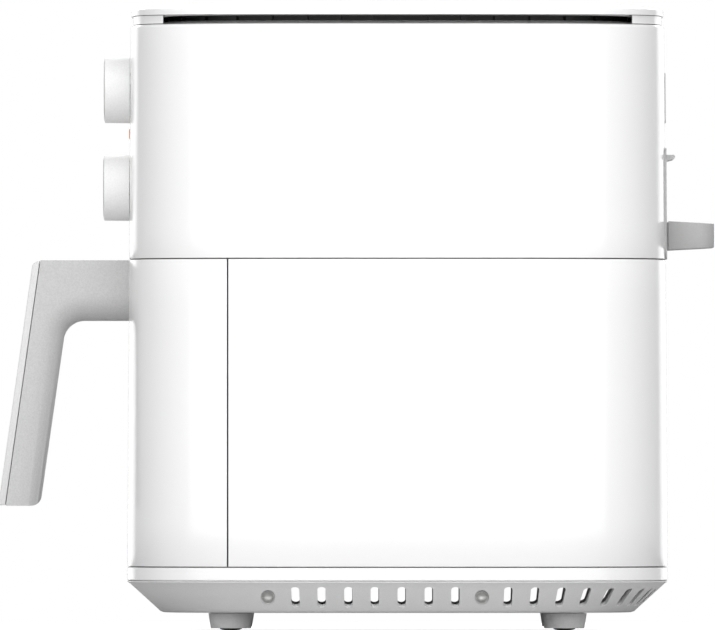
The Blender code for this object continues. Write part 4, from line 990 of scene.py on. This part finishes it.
select_edges(grip, inner_edge)
bpy.ops.mesh.bevel(offset=0.0130, segments=12, profile=0.5, clamp_overlap=False)
leave()
toe_y = leg_front(toe_z) + LEG + tan(LEAN) * TOE_ROUND - TOE_ROUND / cos(LEAN)
corner = box("toe_corner", (0.05, 0.02, TOE_ROUND * (1 - sin(LEAN)) + 0.001),
             (0, toe_y + 0.01, toe_z + (TOE_ROUND * (1 - sin(LEAN)) - 0.001) / 2))
carve(corner, drum("toe_round", TOE_ROUND, 0.06, (0, toe_y, toe_z + TOE_ROUND), (0, pi / 2, 0),
                   vertices=96))
carve(grip, corner)
soften(grip, 0.0009, 3, 50)
dress(grip, handle_grey, 40)
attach(grip, "drawer")
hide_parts("handle_grip")

# %% Cut the cover strip
strip = box("grip_strip", (grip_high.x - grip_low.x, 0.05, shell_high.z - shell_low.z),
            (0, tip_y + 0.015, (shell_low.z + shell_high.z) / 2))
keep(strip, (0, leg_front(toe_z), toe_z), (0, cos(LEAN), -sin(LEAN)))
keep(strip, (0, leg_front(toe_z) + STRIP, toe_z), (0, -cos(LEAN), sin(LEAN)))
round_edges(strip, 0.0028, 8, lambda a, b: abs(a.x - b.x) > 0.005
            and min(a.z, b.z) > shell_high.z - 0.001 and a.y < leg_front(a.z) + 0.001)
soften(strip, 0.0008, 4, 50)
dress(strip, strip_grey, 40)
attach(strip, "drawer")
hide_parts("handle_cover")

# %% [markdown]
# ## Knobs
#
# A knob is a short cylinder with a slightly smaller face, a fine round at the front edge and a
# pointer line sunk into the face, with dark paint in the groove. Its back all but touches the
# cover, which leans, so the gap is measured where the cover comes closest.

# %% Turn the knobs and sink their pointers
KNOB_GAP = 0.0002
POINTER = (0.0013, 0.0016, 0.0085)


def front_y(x, z):
    """The front surface of the upper cover at x and z."""
    half = half_at(z)
    return CENTRE_Y - half * (1 - (abs(x) / half) ** POWER) ** (1 / POWER)


def model_knob(name, node):
    knob_low, knob_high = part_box(node)
    centre = (knob_low + knob_high) / 2
    radius = (knob_high.x - knob_low.x) / 2
    back_y = front_y(0, knob_low.z) - KNOB_GAP
    depth = back_y - knob_low.y
    middle = (0, (back_y + knob_low.y) / 2, centre.z)
    knob = drum(name, radius, depth, middle, (pi / 2, 0, 0), vertices=128)
    select_faces(knob, lambda c, n: n.y < -0.9)
    bpy.ops.transform.resize(value=(0.992, 1, 0.992), center_override=centre)
    leave()
    round_edges(knob, 0.0005, 4, lambda a, b: max(a.y, b.y) < knob_low.y + 0.0001)
    select_faces(knob, lambda c, n: n.y < -0.9 and c.y < knob_low.y + 0.0001)
    bpy.ops.mesh.inset(thickness=0.0022)
    bpy.ops.mesh.extrude_region_move(TRANSFORM_OT_translate={"value": (0, 0.0003, 0)})
    bpy.ops.mesh.inset(thickness=0.0006)
    bpy.ops.mesh.extrude_region_move(TRANSFORM_OT_translate={"value": (0, -0.0003, 0)})
    leave()
    pointer_z = centre.z + radius * 0.55
    carve(knob, box("pointer", POINTER, (0, knob_low.y, pointer_z)))
    dress(knob, white_grained, 30)
    mark = box(name + "_mark", (POINTER[0] - 0.0001, 0.0006, POINTER[2] - 0.0001),
               (0, knob_low.y + POINTER[1] / 2 - 0.0001, pointer_z))
    soften(mark, 0.0001, 2, 60)
    mark.data.materials.append(print_grey)
    return knob, mark


for label in ("temperature", "timer"):
    knob, mark = model_knob(label + "_dial", label + "_knob")
    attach(knob, label + "_control")
    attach(mark, label + "_control")
    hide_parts(label + "_knob")

# %% [markdown]
# ## Scales on the front
#
# Round each knob a scale of ticks is printed on the cover. It starts above the knob, where the
# pointer rests, and runs clockwise as far as the knob turns. Print has hardly any thickness, so
# each tick is a very thin slab, turned to point at its knob, that stands just proud of the cover.

# %% Print the ticks
PRINT_PROUD = 0.00005
TICK_WIDTH = 0.0006
TICK_LENGTH = 0.0024
TICK_RADIUS = 0.0196
SCALES = {"temperature": (9, radians(270)), "timer": (7, radians(300))}


def laid_on_front(piece, x, z, turn):
    """Lay a flat piece, made round the origin facing -Y, on the cover at x and z."""
    take(piece)
    piece.data.transform(Matrix.Rotation(turn, 4, "Y"))
    piece.data.transform(Matrix.Translation((x, front_y(x, z) - PRINT_PROUD, z)))
    return piece


marks = []
for label, (count, sweep) in SCALES.items():
    knob_low, knob_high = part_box(label + "_knob")
    knob_z = (knob_low.z + knob_high.z) / 2
    for number in range(count):
        angle = pi / 2 - sweep * number / (count - 1)
        x, z = cos(angle), sin(angle)
        tick = box("tick", (TICK_WIDTH, 2 * PRINT_PROUD, TICK_LENGTH), (0, 0, 0))
        marks.append(laid_on_front(tick, TICK_RADIUS * x, knob_z + TICK_RADIUS * z, pi / 2 - angle))
print(len(marks), "ticks")
scale_print = joined(marks)
scale_print.name = "scale_print"
soften(scale_print, 0.00003, 1, 60)
scale_print.data.materials.append(print_grey)
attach(scale_print, "housing")

# %% [markdown]
# ## Outlet, spacer and rating plate
#
# The hot air leaves through louvres in a panel that is set flush in the back wall, so the panel is
# cut from the same drawn wall. A small visor over the louvres throws the air down and away. The
# loop under it is a spacer: it keeps the fryer off the kitchen wall, and it narrows to its end.

# %% Cut the outlet panel from the back wall
PANEL_PROUD = 0.0008


def back_plate(name, z_low, z_high, half_width, inner, outer, corner):
    """A plate in the back wall, from inner to outer beyond the body's surface."""
    first = (half_at(z_low, -outer), z_low)
    plate = drawn(name, [first, (half_at(z_high, -outer), z_high),
                         (half_at(z_high, -inner), z_high), (half_at(z_low, -inner), z_low), first])
    window = box("window", (2 * half_width, 0.04, z_high - z_low - 0.0002),
                 (0, BACK_Y, (z_low + z_high) / 2))
    round_edges(window, corner, 8, lambda a, b: abs(a.y - b.y) > 0.01)
    carve(plate, window, "INTERSECT")
    return plate


VISOR_DROP = 0.0033
VISOR_HEIGHT = 0.0037
VISOR_HALF_WIDTH = 0.042
LOUVRES = 7
LOUVRE_PITCH = 0.0036
LOUVRE_WIDTH = 0.076
LOUVRE_HEIGHT = 0.0019
FIRST_LOUVRE = 0.0222
outlet = back_plate("outlet_cover", outlet_low.z, outlet_high.z, panel_half,
                    -COVER_WALL, PANEL_PROUD, 0.006)
visor_top = outlet_high.z - VISOR_DROP
visor_root = BACK_Y - 0.0032
visor = box("visor", (2 * VISOR_HALF_WIDTH, outlet_high.y - visor_root, VISOR_HEIGHT),
            (0, (outlet_high.y + visor_root) / 2, visor_top - VISOR_HEIGHT / 2))
select_edges(visor, lambda a, b: min(a.y, b.y) > BACK_Y and max(a.z, b.z) < visor_top - 0.002)
bpy.ops.transform.translate(value=(0, 0, 0.0018))
leave()
round_edges(visor, 0.0007, 4, lambda a, b: min(a.y, b.y) > BACK_Y)
carve(outlet, visor, "UNION")
louvre = box("louvre", (LOUVRE_WIDTH, 0.03, LOUVRE_HEIGHT),
             (0, BACK_Y, outlet_low.z + FIRST_LOUVRE))
round_edges(louvre, 0.0009, 4, lambda a, b: abs(a.y - b.y) > 0.01)
louvres = [copy_of(louvre, Matrix.Translation((0, 0, row * LOUVRE_PITCH)))
           for row in range(LOUVRES)]
bpy.data.objects.remove(louvre, do_unlink=True)
carve(outlet, joined(louvres))
dress(outlet, outlet_grey)
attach(outlet, "housing")
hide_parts("rear_outlet_panel")

# %% Make the rating plate and the spacer
plate_low, plate_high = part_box("rating_plate")
plate = back_plate("plain_plate", plate_low.z, plate_high.z, plate_high.x, -0.0005, 0.0005, 0.002)
dress(plate, outlet_grey)
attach(plate, "housing")
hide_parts("rating_plate")

SPACER_WALL = 0.0030
SPACER_ROUND = 0.0100
SPACER_TAPER = 0.17
loop_low, loop_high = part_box("rear_spacer")


def spacer_block(name, side, end, corner, height):
    """A block with its two rear corners rounded."""
    block = box(name, (2 * side, end - loop_low.y, height),
                (0, (end + loop_low.y) / 2, (loop_low.z + loop_high.z) / 2))
    round_edges(block, corner, 20, lambda a, b: abs(a.z - b.z) > 0.005 and a.y > loop_low.y + 0.001)
    return block


spacer = spacer_block("spacer_loop", loop_high.x, loop_high.y, SPACER_ROUND,
                      loop_high.z - loop_low.z)
room = spacer_block("spacer_room", loop_high.x - SPACER_WALL, loop_high.y - SPACER_WALL,
                    SPACER_ROUND - SPACER_WALL, 0.05)
room.data.transform(Matrix.Translation((0, -0.0001, 0)))
carve(spacer, room)
loop_middle = (loop_low.z + loop_high.z) / 2
for vertex in spacer.data.vertices:
    share = (vertex.co.y - loop_low.y) / (loop_high.y - loop_low.y)
    vertex.co.z = loop_middle + (vertex.co.z - loop_middle) * (1 - SPACER_TAPER * share)
soften(spacer, 0.0004, 2, 60)
dress(spacer, spacer_grey, 40)
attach(spacer, "housing")
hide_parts("rear_spacer")

# %% [markdown]
# ## Pan and crisper tray
#
# The pan is deep-drawn sheet steel, so its bottom edge is a wide round and its rim is rolled. The
# tray stands on four silicone feet. It is punched with a ring of slots and rows of round holes,
# through which the hot air comes back up; it keeps its frame shape and gets its finish with the
# kept pieces below. Both show as soon as the drawer is pulled out.

# %% Draw the pan
PAN_POWER = 6.0
PAN_SHEET = 0.0015
PAN_RIM = 0.0020
PAN_TAPER = 0.0040
PAN_ROUND = 0.0100
steel_low, steel_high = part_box("drawer_pan")
pan_centre = (0, (steel_low.y + steel_high.y) / 2, 0)
pan_shape = (1.0, (steel_high.y - steel_low.y) / (steel_high.x - steel_low.x))


def pan_round(half, z, radius):
    """The round between the pan's floor at z and its wall."""
    turns = [step / 8 * pi / 2 for step in range(9)]
    return [(half - radius * (1 - sin(turn)), z + radius * (1 - cos(turn))) for turn in turns]


foot_half = steel_high.x - PAN_RIM - PAN_TAPER
top_half = steel_high.x - PAN_RIM
pan_path = [(TINY, steel_low.z)] + pan_round(foot_half, steel_low.z, PAN_ROUND)
pan_path += [(top_half, steel_high.z - 0.0020), (steel_high.x - 0.0004, steel_high.z - 0.0018),
             (steel_high.x, steel_high.z - 0.0010), (steel_high.x - 0.0004, steel_high.z - 0.0002),
             (steel_high.x - 0.0008, steel_high.z), (top_half - PAN_SHEET + 0.0004, steel_high.z),
             (top_half - PAN_SHEET, steel_high.z - 0.0004)]
pan_path += list(reversed(pan_round(foot_half - PAN_SHEET, steel_low.z + PAN_SHEET,
                                    PAN_ROUND - PAN_SHEET)))
pan_path += [(TINY, steel_low.z + PAN_SHEET)]
pan = drawn("pan_body", pan_path, pan_centre, PAN_POWER, 144, pan_shape)
dress(pan, pan_coat)
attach(pan, "drawer")
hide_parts("drawer_pan")

# %% [markdown]
# ## Pieces that keep their frame shape
#
# Sheet metal, screws, shafts and the small switch parts are already right in the frame. They only
# need the finish of the real piece.

# %% Give the frame's own pieces their finishes
KEPT = {
    plain_steel: ["handle_screw_left", "handle_screw_right",
                  "pan_bracket_left", "pan_bracket_right", "drawer_rail_left", "drawer_rail_right",
                  "temperature_shaft", "timer_shaft", "element_guard", "hot_air_fan", "fan_shaft",
                  "fan_motor", "motor_bracket"],
    aluminised: ["chamber_liner", "heater_dome"],
    coil_steel: ["heating_coil"],
    phenolic: ["thermostat_body", "timer_body", "interlock_switch"],
    white_grained: ["interlock_plunger"],
    vent_black: ["cord_inlet_bush", "cooling_fan", "thermal_fuse"],
    panel_black: ["drawer_inner_panel"],
    pan_coat: ["crisper_tray"],
    silicone: ["tray_foot_1", "tray_foot_2", "tray_foot_3", "tray_foot_4"],
    amber_lens: ["indicator_lens"],
}
for finish, names in KEPT.items():
    for name in names:
        nodes[name].data.materials.clear()
        nodes[name].data.materials.append(finish)
print("kept pieces:", sum(len(names) for names in KEPT.values()))
